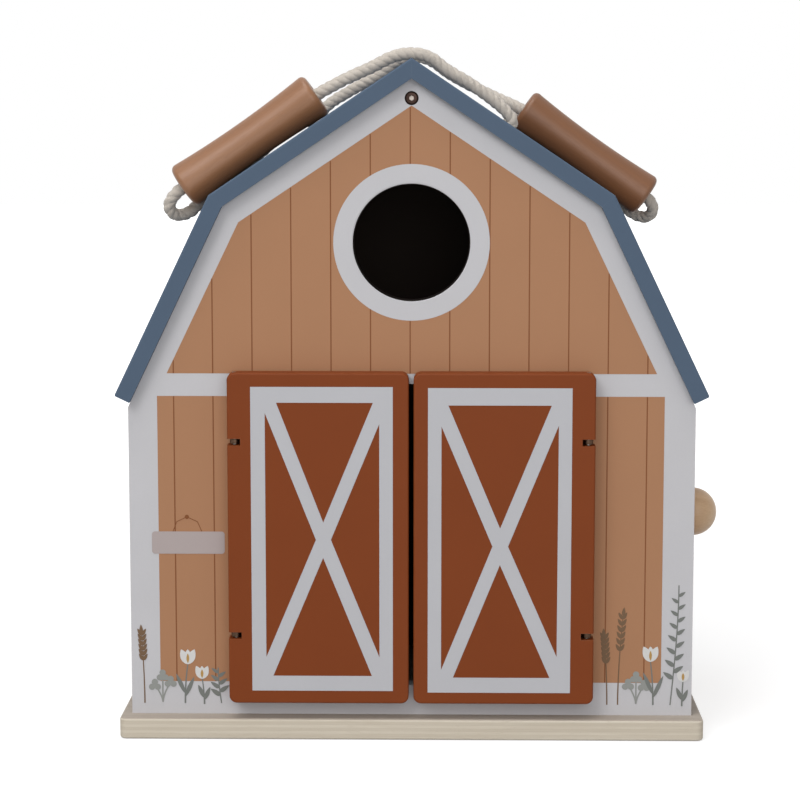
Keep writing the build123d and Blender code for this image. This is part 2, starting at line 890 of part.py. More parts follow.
os.makedirs("parts", exist_ok=True)
base_board()
base_screws()
front_panel()
back_panel()
left_wall()
eave_rail()
wall_dowels()
ridge_beam()
gable_screws()
magnets("rail_magnets", rail_x, RIGHT)
magnets("flap_magnets", flap_inner_x, LEFT)
for roof_side in (LEFT, RIGHT):
    roof_upper(roof_side)
    roof_lower(roof_side)
    door(roof_side)
    hinge_pins(roof_side)
hinge_eyes()
side_flap()
flap_pivot_pins()
side_knob()
knob_screw()
grip("front_grip", LEFT, front_grip_along, front_grip_across, front_grip_height, front_grip_tilt)
grip("back_grip", RIGHT, back_grip_along, back_grip_across, back_grip_height, back_grip_tilt)
rope("front_rope", front_rope_route)
rope("back_rope", back_rope_route)
rope_knots("front_rope_knots", -rope_hole_spacing / 2)
rope_knots("back_rope_knots", rope_hole_spacing / 2)
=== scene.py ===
import logging
from dataclasses import dataclass, field
from enum import Enum
from math import cos, hypot, pi, radians, sin, sqrt
from typing import Callable, ClassVar, Optional, Sequence

import bpy
from mathutils import Matrix, Vector, noise
from mathutils.geometry import tessellate_polygon


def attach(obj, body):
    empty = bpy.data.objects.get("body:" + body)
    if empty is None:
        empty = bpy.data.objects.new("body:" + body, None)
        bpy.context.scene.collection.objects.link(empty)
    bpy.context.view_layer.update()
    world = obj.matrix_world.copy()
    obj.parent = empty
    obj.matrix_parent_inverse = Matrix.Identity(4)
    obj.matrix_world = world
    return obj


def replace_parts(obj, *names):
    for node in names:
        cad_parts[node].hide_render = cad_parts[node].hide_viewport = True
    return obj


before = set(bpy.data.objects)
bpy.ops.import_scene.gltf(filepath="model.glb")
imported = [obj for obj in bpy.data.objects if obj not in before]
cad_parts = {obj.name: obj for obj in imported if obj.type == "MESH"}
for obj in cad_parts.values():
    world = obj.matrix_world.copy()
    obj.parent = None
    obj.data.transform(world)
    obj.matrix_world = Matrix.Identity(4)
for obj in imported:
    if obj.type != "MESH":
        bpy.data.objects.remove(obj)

Node = bpy.types.Node
Socket = bpy.types.NodeSocket
Tree = bpy.types.NodeTree
Material = bpy.types.Material
Piece = bpy.types.Object
Place = tuple[float, float]
Outline = list[Place]
Rgb = tuple[int, int, int]
Triple = tuple[float, float, float]

MM = 0.001
PANEL_Y = 75.0  # a gable's outer face, in millimetres from the middle
WALL_X = 131.0  # a side wall's outer face
DOOR_Y = 85.0  # the doors' front
WINDOW_Z = 231.0  # the round window's centre
PAINT_GLOSS = 0.18  # the specular level of matte paint and ink

log = logging.getLogger("farmhouse")


class Side(Enum):
    """The two sides of the house, by the sign of X."""

    LEFT = -1
    RIGHT = 1


class Ink(Enum):
    """The flat colours of the printed shapes, as sRGB values."""

    BOARD_TAN = (169, 124, 92)
    BOARD_LINE = (127, 78, 47)
    TRIM_WHITE = (195, 194, 197)
    DOOR_WHITE = (187, 187, 191)
    PETAL_WHITE = (212, 211, 209)
    OCHRE = (178, 142, 84)
    LEAF_GREY = (118, 121, 117)
    LEAF_PALE = (146, 148, 144)
    STEM_BROWN = (116, 92, 70)
    PLANK_GREY = (174, 162, 160)


class Layer(Enum):
    """How far each printed layer stands off its board, in millimetres."""

    FIELD = 0.05
    LINES = 0.08
    TRIM = 0.11
    STEMS = 0.14
    LEAVES = 0.17
    FLOWERS = 0.20
    MARKS = 0.23


class Ends(Enum):
    """What becomes of the first and last ring of a skin."""

    OPEN = "open"
    CAPPED = "capped"
    JOINED = "joined"


def linear(colour: Rgb) -> tuple[float, float, float, float]:
    """Turns an sRGB colour into the scene's linear colour.

    Args:
        colour: Red, green and blue from 0 to 255.

    Returns:
        The linear colour with full alpha.
    """
    parts = [c / 255 for c in colour]
    done = [c / 12.92 if c <= 0.04045 else ((c + 0.055) / 1.055) ** 2.4 for c in parts]
    return (done[0], done[1], done[2], 1.0)


class Wiring:
    """Adds nodes to one node tree and joins their sockets."""

    def __init__(self, tree: Tree) -> None:
        """Keeps the tree to work on."""
        self.tree = tree

    def join(self, node: Node, values: dict) -> Node:
        """Feeds a node's inputs.

        Args:
            node: The node.
            values: Input sockets by name or number, each with a value or with a socket to join.

        Returns:
            The same node.
        """
        for key, value in values.items():
            if isinstance(value, Socket):
                self.tree.links.new(value, node.inputs[key])
            else:
                node.inputs[key].default_value = value
        return node

    def add(self, kind: str, values: Optional[dict] = None, **settings: object) -> Node:
        """Adds one node.

        Args:
            kind: The node's type name.
            values: What feeds its inputs, as join takes it.
            settings: The node's own settings.

        Returns:
            The new node.
        """
        node = self.tree.nodes.new(kind)
        for name, value in settings.items():
            setattr(node, name, value)
        return self.join(node, values or {})

    def maths(self, operation: str, *values: object, clamp: bool = False) -> Socket:
        """Adds a sum on numbers and returns its result."""
        inputs = dict(enumerate(values))
        return self.add("ShaderNodeMath", inputs, operation=operation, use_clamp=clamp).outputs[0]

    def vector(self, operation: str, *values: object) -> Socket:
        """Adds a sum on vectors and returns its vector."""
        return self.add("ShaderNodeVectorMath", dict(enumerate(values)), operation=operation).outputs[0]

    def measure(self, operation: str, *values: object) -> Socket:
        """Adds a sum on vectors and returns its number."""
        inputs = dict(enumerate(values))
        return self.add("ShaderNodeVectorMath", inputs, operation=operation).outputs["Value"]

    def blend(self, amount: object, first: object, second: object) -> Socket:
        """Mixes two colours by an amount of the second."""
        values = {0: amount, 6: first, 7: second}
        return self.add("ShaderNodeMix", values, data_type="RGBA").outputs[2]

    def noise(self, place: Socket, scale: object, detail: float) -> Socket:
        """Adds a noise.

        Args:
            place: Where it is read.
            scale: Its scale, as one number or as one for each axis.
            detail: How fine it goes.

        Returns:
            Its value from 0 to 1.
        """
        if isinstance(scale, tuple):
            place, scale = self.vector("MULTIPLY", place, scale), 1.0
        node = self.add("ShaderNodeTexNoise", {"Vector": place, "Scale": scale, "Detail": detail})
        return node.outputs["Fac"]

    def centred(self, value: Socket, swing: float) -> Socket:
        """Turns a value from 0 to 1 into one that swings round 0."""
        return self.maths("MULTIPLY_ADD", value, swing, -swing / 2)

    def place(self) -> Socket:
        """The place on the piece."""
        return self.add("ShaderNodeTexCoord").outputs["Object"]

    def part(self, vector: Socket, axis: str) -> Socket:
        """One number of a vector."""
        return self.add("ShaderNodeSeparateXYZ", {0: vector}).outputs[axis]

    def effect(self, tree: Tree, values: dict) -> bpy.types.NodeOutputs:
        """Places a shared effect with its own values and returns its outputs."""
        return self.add("ShaderNodeGroup", values, node_tree=tree).outputs

    def wear(self, place: Socket, width: float, amount: float) -> Socket:
        """Places the shared edge wear and returns its mask."""
        return self.effect(effects.edge_wear, {"Place": place, "Width": width, "Amount": amount})["Mask"]

    def seen(self) -> Socket:
        """1 for the camera's own rays and for reflections, and 0 for the light that falls on things."""
        rays = self.add("ShaderNodeLightPath").outputs
        return self.maths("MAXIMUM", rays["Is Camera Ray"], rays["Is Glossy Ray"])


class Effects:
    """The shader effects that several finishes share, each built once."""

    # Noise scales, per metre.
    MOTTLE = 38.0
    ROLLER = 1100.0
    SWAY = (14.0, 40.0, 40.0)
    BANDS = (6.0, 190.0, 190.0)
    STREAKS = (26.0, 1500.0, 1500.0)
    PORES = (300.0, 3200.0, 3200.0)
    RUBBED = 160.0
    # How rare pores are: the noise's value from which there is one.
    PORE_LEVEL = 0.67
    # The bounds of the painted shade in the house, in metres, each a hair past the CAD's own face.
    PANEL_FACE = 0.0751
    PANEL_BACK = -0.0655
    WINDOW_EDGE = 0.0269

    def __init__(self) -> None:
        """Builds the four effects."""
        self.paint_skin = self._paint_skin()
        self.wood_grain = self._wood_grain()
        self.edge_wear = self._edge_wear()
        self.inner_face = self._inner_face()

    @staticmethod
    def _start(name: str, inputs: dict, outputs: Sequence[str]) -> tuple:
        """Makes an empty effect.

        Args:
            name: The effect's name.
            inputs: For each input a number or a colour to start with, or None for a vector.
            outputs: The outputs' names: Colour is a colour, and the others are numbers.

        Returns:
            Its wiring, the sockets that it is given, and its output node.
        """
        tree = bpy.data.node_groups.new(name, "ShaderNodeTree")
        kinds = {float: "NodeSocketFloat", tuple: "NodeSocketColor"}
        for label, value in inputs.items():
            kind = kinds.get(type(value), "NodeSocketVector")
            socket = tree.interface.new_socket(name=label, in_out="INPUT", socket_type=kind)
            if value is not None:
                socket.default_value = value
        for label in outputs:
            kind = "NodeSocketColor" if label == "Colour" else "NodeSocketFloat"
            tree.interface.new_socket(name=label, in_out="OUTPUT", socket_type=kind)
        w = Wiring(tree)
        return w, w.add("NodeGroupInput").outputs, w.add("NodeGroupOutput")

    def _paint_skin(self) -> Tree:
        """Rolled matte paint: a slight mottle in its colour, and the roller's fine bumps.

        Returns:
            The effect's tree.
        """
        inputs = {"Place": None, "Colour": (0.5, 0.5, 0.5, 1.0), "Mottle": 0.05, "Roughness": 0.6}
        w, given, end = self._start("Paint skin", inputs, ("Colour", "Roughness", "Height"))
        cloud = w.noise(given["Place"], self.MOTTLE, 2.0)
        roller = w.noise(given["Place"], self.ROLLER, 3.0)
        fine = w.centred(roller, 0.8)
        total = w.maths("ADD", w.centred(cloud, 1.4), fine)
        factor = w.maths("MULTIPLY_ADD", total, given["Mottle"], 1.0)
        scaled = w.add("ShaderNodeVectorMath", {0: given["Colour"], "Scale": factor}, operation="SCALE")
        rough = w.maths("MULTIPLY_ADD", fine, 0.16, given["Roughness"])
        w.join(end, {"Colour": scaled.outputs[0], "Roughness": rough, "Height": roller})
        return w.tree

    def _wood_grain(self) -> Tree:
        """Grain along X: broad bands, fine streaks and short pores.

        Returns:
            The effect's tree.
        """
        colours = {"Light": (0.7, 0.5, 0.3, 1.0), "Dark": (0.5, 0.3, 0.2, 1.0)}
        inputs = {"Place": None, **colours, "Contrast": 0.6, "Roughness": 0.5}
        w, given, end = self._start("Wood grain", inputs, ("Colour", "Roughness", "Height"))
        place = given["Place"]
        drift = w.centred(w.noise(place, self.SWAY, 2.0), 0.012)
        moved = w.vector("ADD", place, w.add("ShaderNodeCombineXYZ", {"Y": drift, "Z": drift}).outputs[0])
        bands = w.noise(moved, self.BANDS, 3.0)
        streaks = w.noise(moved, self.STREAKS, 4.0)
        pores = w.maths("GREATER_THAN", w.noise(place, self.PORES, 1.0), self.PORE_LEVEL)
        mixed = w.maths("MULTIPLY_ADD", bands, 0.62, w.maths("MULTIPLY", streaks, 0.38))
        ramp = w.maths("MULTIPLY_ADD", w.maths("SUBTRACT", mixed, 0.5), 2.6, 0.45, clamp=True)
        share = w.maths("MULTIPLY", ramp, given["Contrast"])
        share = w.maths("MULTIPLY_ADD", pores, 0.16, share, clamp=True)
        colour = w.blend(share, given["Light"], given["Dark"])
        rough = w.maths("MULTIPLY_ADD", ramp, 0.1, given["Roughness"])
        height = w.maths("MULTIPLY_ADD", pores, -0.8, streaks)
        w.join(end, {"Colour": colour, "Roughness": rough, "Height": height})
        return w.tree

    def _edge_wear(self) -> Tree:
        """A broken line along the edges, where handling rubs the finish.

        Returns:
            The effect's tree.
        """
        w, given, end = self._start("Edge wear", {"Place": None, "Width": 0.0007, "Amount": 0.4}, ["Mask"])
        soft = w.add("ShaderNodeBevel", {"Radius": given["Width"]}, samples=4)
        plain = w.add("ShaderNodeNewGeometry")
        facing = w.measure("DOT_PRODUCT", soft.outputs[0], plain.outputs["Normal"])
        edge = w.maths("MULTIPLY", w.maths("SUBTRACT", 1.0, facing), 9.0, clamp=True)
        broken = w.noise(given["Place"], self.RUBBED, 4.0)
        patch = w.maths("MULTIPLY_ADD", broken, 3.2, -1.25, clamp=True)
        w.join(end, {"Mask": w.maths("MULTIPLY", w.maths("MULTIPLY", edge, patch), given["Amount"])})
        return w.tree

    def _inner_face(self) -> Tree:
        """Masks for painted shade: the faces that look into the house, and the wall of the window hole in the
        front panel.

        Returns:
            The effect's tree.
        """
        w, given, end = self._start("Inner face", {"Outward": None}, ("Mask", "Reveal"))
        coords = w.add("ShaderNodeTexCoord").outputs
        facing = w.measure("DOT_PRODUCT", coords["Normal"], given["Outward"])
        inward = w.maths("LESS_THAN", facing, -0.5)
        y = w.part(coords["Object"], "Y")
        within = w.maths("LESS_THAN", w.maths("ABSOLUTE", y), self.PANEL_FACE)
        offset = w.vector("SUBTRACT", coords["Object"], (0.0, 0.0, WINDOW_Z * MM))
        reach = w.measure("LENGTH", w.vector("MULTIPLY", offset, (1.0, 0.0, 1.0)))
        front = w.maths("LESS_THAN", y, self.PANEL_BACK)
        reveal = w.maths("MULTIPLY", front, w.maths("LESS_THAN", reach, self.WINDOW_EDGE))
        w.join(end, {"Mask": w.maths("MULTIPLY", inward, within), "Reveal": reveal})
        return w.tree


effects = Effects()


class Surface(Wiring):
    """The wiring of a new material with one Principled shader."""

    def __init__(self, name: str) -> None:
        """Makes the material.

        Args:
            name: The material's name.
        """
        self.material = bpy.data.materials.new(name)
        self.material.use_nodes = True
        self.material.node_tree.nodes.clear()
        super().__init__(self.material.node_tree)
        self.shader = self.add("ShaderNodeBsdfPrincipled")
        self.add("ShaderNodeOutputMaterial", {"Surface": self.shader.outputs[0]})

    def bumps(self, height: Socket, depth: float, strength: float = 0.5) -> Socket:
        """Adds bumps with a depth in metres and returns their normal."""
        values = {"Height": height, "Strength": strength, "Distance": depth}
        return self.add("ShaderNodeBump", values).outputs[0]

    def finish(self, colour: Socket, roughness: object, normal: Socket, **levels: float) -> Material:
        """Joins the shader's inputs.

        Args:
            colour: The base colour.
            roughness: A number or a socket.
            normal: The bumps' normal.
            levels: Other inputs by name, with _ for each space, as plain numbers.

        Returns:
            The finished material.
        """
        self.join(self.shader, {"Base Color": colour, "Roughness": roughness, "Normal": normal})
        self.join(self.shader, {name.replace("_", " "): level for name, level in levels.items()})
        return self.material


@dataclass(frozen=True)
class MattePaint:
    """Matte paint on a board, worn a little at the edges; where its outward way is given, the faces that look
    into the house and the window hole's wall get painted shade.
    """

    name: str
    colour: Rgb
    worn: Rgb = (196, 168, 134)
    mottle: float = 0.05
    wear: float = 0.35
    wear_width: float = 0.0006
    roughness: float = 0.62
    outward: Optional[Triple] = None
    # Painted shade: the dark colours of the faces that look into the house and of the window hole's wall.
    inner: Rgb = (42, 30, 22)
    reveal: Rgb = (20, 13, 10)
    depth: float = 0.00004

    def material(self) -> Material:
        """Builds the paint's material.

        Returns:
            The finished material.
        """
        w = Surface(self.name)
        place = w.place()
        colour = linear(self.colour)
        worn = w.wear(place, self.wear_width, self.wear)
        # Painted shade on the faces that look into the house and on the window hole's wall, where the edge
        # wear is left out.
        if self.outward is not None:
            shade_masks = w.effect(effects.inner_face, {"Outward": self.outward})
            colour = w.blend(shade_masks["Mask"], colour, linear(self.inner))
            colour = w.blend(shade_masks["Reveal"], colour, linear(self.reveal))
            hidden = w.maths("MAXIMUM", shade_masks["Mask"], shade_masks["Reveal"])
            worn = w.maths("MULTIPLY", worn, w.maths("SUBTRACT", 1.0, hidden))
        values = {"Place": place, "Colour": colour, "Mottle": self.mottle, "Roughness": self.roughness}
        skin = w.effect(effects.paint_skin, values)
        colour = w.blend(worn, skin["Colour"], linear(self.worn))
        normal = w.bumps(skin["Height"], self.depth)
        return w.finish(colour, skin["Roughness"], normal, Specular_IOR_Level=PAINT_GLOSS)


@dataclass(frozen=True)
class PrintInk:
    """A flat printed colour over the paint."""

    ink: Ink
    mottle: float = 0.035
    roughness: float = 0.58
    depth: float = 0.00003

    def material(self) -> Material:
        """Builds the ink's material, or gives back the one already built.

        Returns:
            The finished material.
        """
        name = "print_" + self.ink.name.lower()
        found = bpy.data.materials.get(name)
        if found is not None:
            return found
        w = Surface(name)
        colours = {"Colour": linear(self.ink.value), "Mottle": self.mottle, "Roughness": self.roughness}
        skin = w.effect(effects.paint_skin, {"Place": w.place(), **colours})
        normal = w.bumps(skin["Height"], self.depth)
        return w.finish(skin["Colour"], skin["Roughness"], normal, Specular_IOR_Level=PAINT_GLOSS)


@dataclass(frozen=True)
class TurnedWood:
    """Stained or plain wood, with its grain along one direction."""

    name: str
    light: Rgb
    dark: Rgb
    along: Triple = (1.0, 0.0, 0.0)
    contrast: float = 0.6
    roughness: float = 0.42
    worn: Rgb = (206, 172, 138)
    wear: float = 0.25
    wear_width: float = 0.0009
    coat: float = 0.15
    coat_roughness: float = 0.35
    depth: float = 0.00004

    def material(self) -> Material:
        """Builds the wood's material.

        Returns:
            The finished material.
        """
        w = Surface(self.name)
        place = w.place()
        turn = Vector(self.along).rotation_difference(Vector((1, 0, 0))).to_euler()
        turned = w.add("ShaderNodeMapping", {"Vector": place, "Rotation": tuple(turn)})
        values = {
            "Place": turned.outputs[0],
            "Light": linear(self.light),
            "Dark": linear(self.dark),
            "Contrast": self.contrast,
            "Roughness": self.roughness,
        }
        grain = w.effect(effects.wood_grain, values)
        colour = w.blend(w.wear(place, self.wear_width, self.wear), grain["Colour"], linear(self.worn))
        normal = w.bumps(grain["Height"], self.depth)
        levels = {"Coat_Weight": self.coat, "Coat_Roughness": self.coat_roughness}
        return w.finish(colour, grain["Roughness"], normal, **levels)


@dataclass(frozen=True)
class PlyBoard:
    """Pale plywood, with grain on its faces and its plies along the edges; its flat faces take greyer, darker
    colours than its edges, a painted shade.
    """

    name: str
    light: Rgb = (212, 203, 187)
    dark: Rgb = (182, 169, 149)
    # Painted shade: the flat faces' greyer, darker grain colours, which darken the base's top.
    face: Rgb = (172, 161, 149)
    shaded_face_dark: Rgb = (150, 138, 125)
    worn: Rgb = (150, 132, 112)
    thickness: float = 0.010
    plies: int = 7
    waver: float = 0.0005
    contrast: float = 0.5
    roughness: float = 0.55
    depth: float = 0.00005

    def material(self) -> Material:
        """Builds the plywood's material.

        Returns:
            The finished material.
        """
        w = Surface(self.name)
        coords = w.add("ShaderNodeTexCoord").outputs
        place = coords["Object"]
        is_edge = w.maths("LESS_THAN", w.maths("ABSOLUTE", w.part(coords["Normal"], "Z")), 0.6)
        # The flat faces take the greyer colours, a painted shade on the top.
        values = {
            "Place": place,
            "Light": w.blend(is_edge, linear(self.face), linear(self.light)),
            "Dark": w.blend(is_edge, linear(self.shaded_face_dark), linear(self.dark)),
            "Contrast": self.contrast,
            "Roughness": self.roughness,
        }
        grain = w.effect(effects.wood_grain, values)
        height = w.maths("ADD", w.part(place, "Z"), w.centred(w.noise(place, 30.0, 1.0), self.waver))
        level = w.maths("MULTIPLY", height, self.plies / self.thickness)
        dark_ply = w.maths("GREATER_THAN", w.maths("FRACT", w.maths("MULTIPLY", level, 0.5)), 0.5)
        from_seam = w.maths("ABSOLUTE", w.maths("SUBTRACT", w.maths("FRACT", level), 0.5))
        seam = w.maths("MULTIPLY_ADD", w.maths("LESS_THAN", from_seam, 0.43), -0.22, 0.22)
        shade = w.maths("MULTIPLY", w.maths("MULTIPLY_ADD", dark_ply, 0.3, seam), is_edge)
        plied = w.blend(shade, grain["Colour"], linear(self.dark))
        colour = w.blend(w.wear(place, 0.0008, 0.2), plied, linear(self.worn))
        normal = w.bumps(grain["Height"], self.depth)
        return w.finish(colour, grain["Roughness"], normal, Specular_IOR_Level=0.4)


@dataclass(frozen=True)
class CottonCord:
    """Natural cotton: twisted fibres, lighter and darker in uneven yarns and blotches."""

    name: str
    light: Rgb = (204, 195, 184)
    dark: Rgb = (152, 141, 130)
    lean: float = 420.0
    yarns_round: float = 9.0
    yarns_along: float = 260.0
    fluff: float = 2600.0
    blotch: float = 620.0
    depth: float = 0.0003

    def material(self) -> Material:
        """Builds the cotton's material, on a UV map that runs round and along each strand.

        Returns:
            The finished material.
        """
        w = Surface(self.name)
        strand = w.add("ShaderNodeUVMap", uv_map="strand").outputs[0]
        along = w.part(strand, "Y")
        lean = w.maths("MULTIPLY_ADD", along, self.lean, w.part(strand, "X"))
        values = {"X": w.maths("MULTIPLY", lean, self.yarns_round), "Y": along}
        wound = w.add("ShaderNodeCombineXYZ", values).outputs[0]
        yarns = w.noise(wound, (1.0, self.yarns_along, 1.0), 4.0)
        place = w.place()
        blotch = w.maths("MULTIPLY_ADD", w.noise(place, self.blotch, 3.0), 0.9, -0.6)
        share = w.maths("MULTIPLY_ADD", yarns, 0.7, blotch, clamp=True)
        colour = w.blend(w.maths("MULTIPLY", share, 0.6), linear(self.light), linear(self.dark))
        height = w.maths("MULTIPLY_ADD", w.noise(place, self.fluff, 2.0), 0.45, yarns)
        levels = {"Sheen_Weight": 0.35, "Sheen_Roughness": 0.6, "Specular_IOR_Level": 0.2}
        return w.finish(colour, 0.92, w.bumps(height, self.depth, 0.8), **levels)


@dataclass(frozen=True)
class SmallMetal:
    """Plain or bronzed steel of the small hardware."""

    name: str
    colour: Rgb
    roughness: float
    scratches: Triple = (900.0, 900.0, 5200.0)
    cloud: float = 420.0
    hollow: float = 0.62
    depth: float = 0.00002

    def material(self) -> Material:
        """Builds the metal's material, with fine scratches and darker cloudy patches.

        Returns:
            The finished material.
        """
        w = Surface(self.name)
        place = w.place()
        scratch = w.noise(place, self.scratches, 3.0)
        share = w.maths("MULTIPLY_ADD", w.noise(place, self.cloud, 2.0), 0.9, -0.2, clamp=True)
        dark = tuple(int(c * self.hollow) for c in self.colour)
        colour = w.blend(share, linear(self.colour), linear(dark))
        rough = w.maths("MULTIPLY_ADD", scratch, 0.22, self.roughness - 0.11)
        return w.finish(colour, rough, w.bumps(scratch, self.depth, 0.3), Metallic=1.0)


def new_piece(
    name: str, points: Sequence[Vector], faces: Sequence[Sequence[int]], materials: Sequence[Material]
) -> Piece:
    """Makes a mesh object in the scene.

    Args:
        name: The piece's name.
        points: Its corners, in metres.
        faces: Its faces, as numbers of corners.
        materials: Its materials in slot order.

    Returns:
        The new object, with flat faces.
    """
    mesh = bpy.data.meshes.new(name)
    mesh.from_pydata([tuple(p) for p in points], [], [tuple(f) for f in faces])
    for material in materials:
        mesh.materials.append(material)
    mesh.update()
    piece = bpy.data.objects.new(name, mesh)
    bpy.context.scene.collection.objects.link(piece)
    return piece


def set_faces(piece: Piece, setting: str, values: Sequence[int]) -> None:
    """Sets one setting on all of a piece's faces."""
    piece.data.polygons.foreach_set(setting, values)


def ring_faces(rings: int, around: int, ends: Ends, first: int = 0) -> list[tuple[int, ...]]:
    """Joins rings of points with a skin.

    Args:
        rings: How many rings there are.
        around: How many points each one has.
        ends: What becomes of the first and last ring.
        first: The number of the first ring's first point.

    Returns:
        The faces between the rings, and the caps after them.
    """
    faces = []
    for row in range(rings if ends is Ends.JOINED else rings - 1):
        a, b = first + row * around, first + (row + 1) % rings * around
        for i in range(around):
            j = (i + 1) % around
            faces.append((a + i, a + j, b + j, b + i))
    if ends is Ends.CAPPED:
        last = first + (rings - 1) * around
        faces += [tuple(range(first, first + around))[::-1], tuple(range(last, last + around))]
    return faces


def dress(material: Material, *nodes: str) -> None:
    """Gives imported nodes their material.

    Args:
        material: The material for all their slots.
        nodes: The nodes' names.
    """
    for node in nodes:
        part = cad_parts[node]
        if not part.material_slots:
            part.data.materials.append(material)
        for slot in part.material_slots:
            slot.material = material
        log.info("dressed %s with %s", node, material.name)


def circle(x: float, z: float, radius: float, count: int = 96) -> Outline:
    """A round outline."""
    turns = [2 * pi * i / count for i in range(count)]
    return [(x + radius * cos(t), z + radius * sin(t)) for t in turns]


def box_outline(x0: float, z0: float, x1: float, z1: float) -> Outline:
    """A rectangle between two corners."""
    return [(x0, z0), (x1, z0), (x1, z1), (x0, z1)]


def arc_points(x: float, r: float, radius: float, start: float, end: float, steps: int = 6) -> Outline:
    """Points of a round, from its centre, its radius, its two angles in degrees and its steps."""
    turns = [radians(start + (end - start) * i / steps) for i in range(steps + 1)]
    return [(x + radius * cos(t), r + radius * sin(t)) for t in turns]


def round_box(x0: float, z0: float, x1: float, z1: float, r: float) -> Outline:
    """A rectangle between two corners, rounded by a radius."""
    corners = zip((x1 - r, x1 - r, x0 + r, x0 + r), (z0 + r, z1 - r, z1 - r, z0 + r), (-90, 0, 90, 180))
    return [point for x, z, start in corners for point in arc_points(x, z, r, start, start + 90)]


def stroke(points: Outline, widths: Sequence[float]) -> Outline:
    """Gives a line its width.

    Args:
        points: The line's points.
        widths: Its whole width at each point.

    Returns:
        The outline round the line.
    """
    left, right = [], []
    for i, (x, z) in enumerate(points):
        ahead = points[min(i + 1, len(points) - 1)]
        behind = points[max(i - 1, 0)]
        dx, dz = ahead[0] - behind[0], ahead[1] - behind[1]
        size = hypot(dx, dz) or 1.0
        nx, nz = -dz / size * widths[i] / 2, dx / size * widths[i] / 2
        left.append((x + nx, z + nz))
        right.append((x - nx, z - nz))
    return right + left[::-1]


def leaf(start: Place, length: float, width: float, angle: float, belly: float) -> Outline:
    """Draws a pointed leaf.

    Args:
        start: Where its stalk end lies.
        length: From end to tip.
        width: Across its widest place.
        angle: Its direction in degrees from the right.
        belly: Where it is widest, as a share of the length.

    Returns:
        The leaf's outline.
    """
    x, z = start
    turn = radians(angle)
    shares = [i / 12 for i in range(1, 12)]
    side = [(s * length, width / 2 * sin(pi * s ** (0.5 / belly * 0.72)) ** 0.8) for s in shares]
    shape = [(0.0, 0.0)] + side + [(length, 0.0)] + [(a, -b) for a, b in side[::-1]]
    return [(x + a * cos(turn) - b * sin(turn), z + a * sin(turn) + b * cos(turn)) for a, b in shape]


@dataclass
class PrintSheet:
    """The flat printed shapes on one face of a board, which looks out at a distance in millimetres."""

    name: str
    body: str
    slot: str
    out: Triple
    distance: float
    shapes: int = 0
    step: float = 0.0025
    steps: int = 10
    points: list[Vector] = field(default_factory=list)
    faces: list[tuple[int, ...]] = field(default_factory=list)
    face_inks: list[Ink] = field(default_factory=list)

    def place(self, x: float, z: float, lift: float) -> Vector:
        """Gives the point of the print at x across and z up, lifted off the board, in millimetres."""
        out, across = Vector(self.out), Vector((abs(self.out[1]), abs(self.out[0]), 0))
        return (out * self.distance + across * x + out * lift + Vector((0, 0, z))) * MM

    def shape(self, ink: Ink, layer: Layer, *outlines: Outline) -> None:
        """Adds one flat shape, a hair over the shape before it.

        Args:
            ink: Its colour.
            layer: Its layer over the board.
            outlines: Its outer line, and after it the lines of its holes.
        """
        rings = [[Vector((x, z, 0)) for x, z in outline] for outline in outlines]
        first = len(self.points)
        self.shapes += 1
        lift = layer.value + self.step * (self.shapes % self.steps)
        self.points += [self.place(p.x, p.y, lift) for ring in rings for p in ring]
        for a, b, c in tessellate_polygon(rings):
            one, two, three = (self.points[first + i] for i in (a, b, c))
            facing = (two - one).cross(three - one).dot(Vector(self.out))
            corner = (a, b, c) if facing > 0 else (a, c, b)
            self.faces.append(tuple(first + i for i in corner))
            self.face_inks.append(ink)

    def build(self) -> None:
        """Makes the print's mesh and lets it ride on its body."""
        inks = sorted(set(self.face_inks), key=lambda ink: ink.name)
        piece = new_piece(self.name, self.points, self.faces, [PrintInk(ink).material() for ink in inks])
        set_faces(piece, "material_index", [inks.index(ink) for ink in self.face_inks])
        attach(piece, self.body)
        log.info("%s: %d faces in %d inks", self.name, len(self.faces), len(inks))


@dataclass(frozen=True)
class Plant:
    """A small generic plant: its foot, its height, and how far its tip leans to the side."""

    x: float
    z: float
    height: float
    lean: float
    power: ClassVar[float] = 2.0

    def bend(self, share: float) -> float:
        """How much of the lean it has at a share of its height."""
        return share**self.power

    def at(self, share: float) -> Place:
        """The stem's place at a share of its height."""
        return self.x + self.lean * self.bend(share), self.z + self.height * share

    def stem(self, sheet: PrintSheet, ink: Ink, steps: int, wide: float, slim: float) -> None:
        """Draws the stem.

        Args:
            sheet: The print that it belongs to.
            ink: Its colour.
            steps: How many steps it takes.
            wide: Its width at the foot.
            slim: Its width at the tip.
        """
        shares = [i / steps for i in range(steps + 1)]
        widths = [wide + (slim - wide) * s for s in shares]
        sheet.shape(ink, Layer.STEMS, stroke([self.at(s) for s in shares], widths))


@dataclass(frozen=True)
class Tulip(Plant):
    """A white tulip on a leafy stem, with the height of its flower."""

    size: float

    def draw(self, sheet: PrintSheet) -> None:
        """Draws the stem, its two leaves, the three petals and their mark.

        Args:
            sheet: The print that it belongs to.
        """
        self.stem(sheet, Ink.LEAF_GREY, 8, 0.75, 0.5)
        for turn, share in ((66, 0.16), (114, 0.24)):
            blade = leaf(self.at(share), self.height * 0.55, 2.0, turn, 0.4)
            sheet.shape(Ink.LEAF_GREY, Layer.LEAVES, blade)
        x, z = self.x + self.lean, self.z + self.height - 0.4
        for layer, turn, share in ((Layer.LEAVES, 66, 1), (Layer.LEAVES, 114, 1), (Layer.FLOWERS, 90, 0.92)):
            petal = leaf((x, z), self.size * share, self.size * share / 2, turn, 0.42)
            sheet.shape(Ink.PETAL_WHITE, layer, petal)
        sheet.shape(Ink.OCHRE, Layer.MARKS, leaf((x, z + 0.5), self.size * 0.6, 1.3, 90, 0.35))


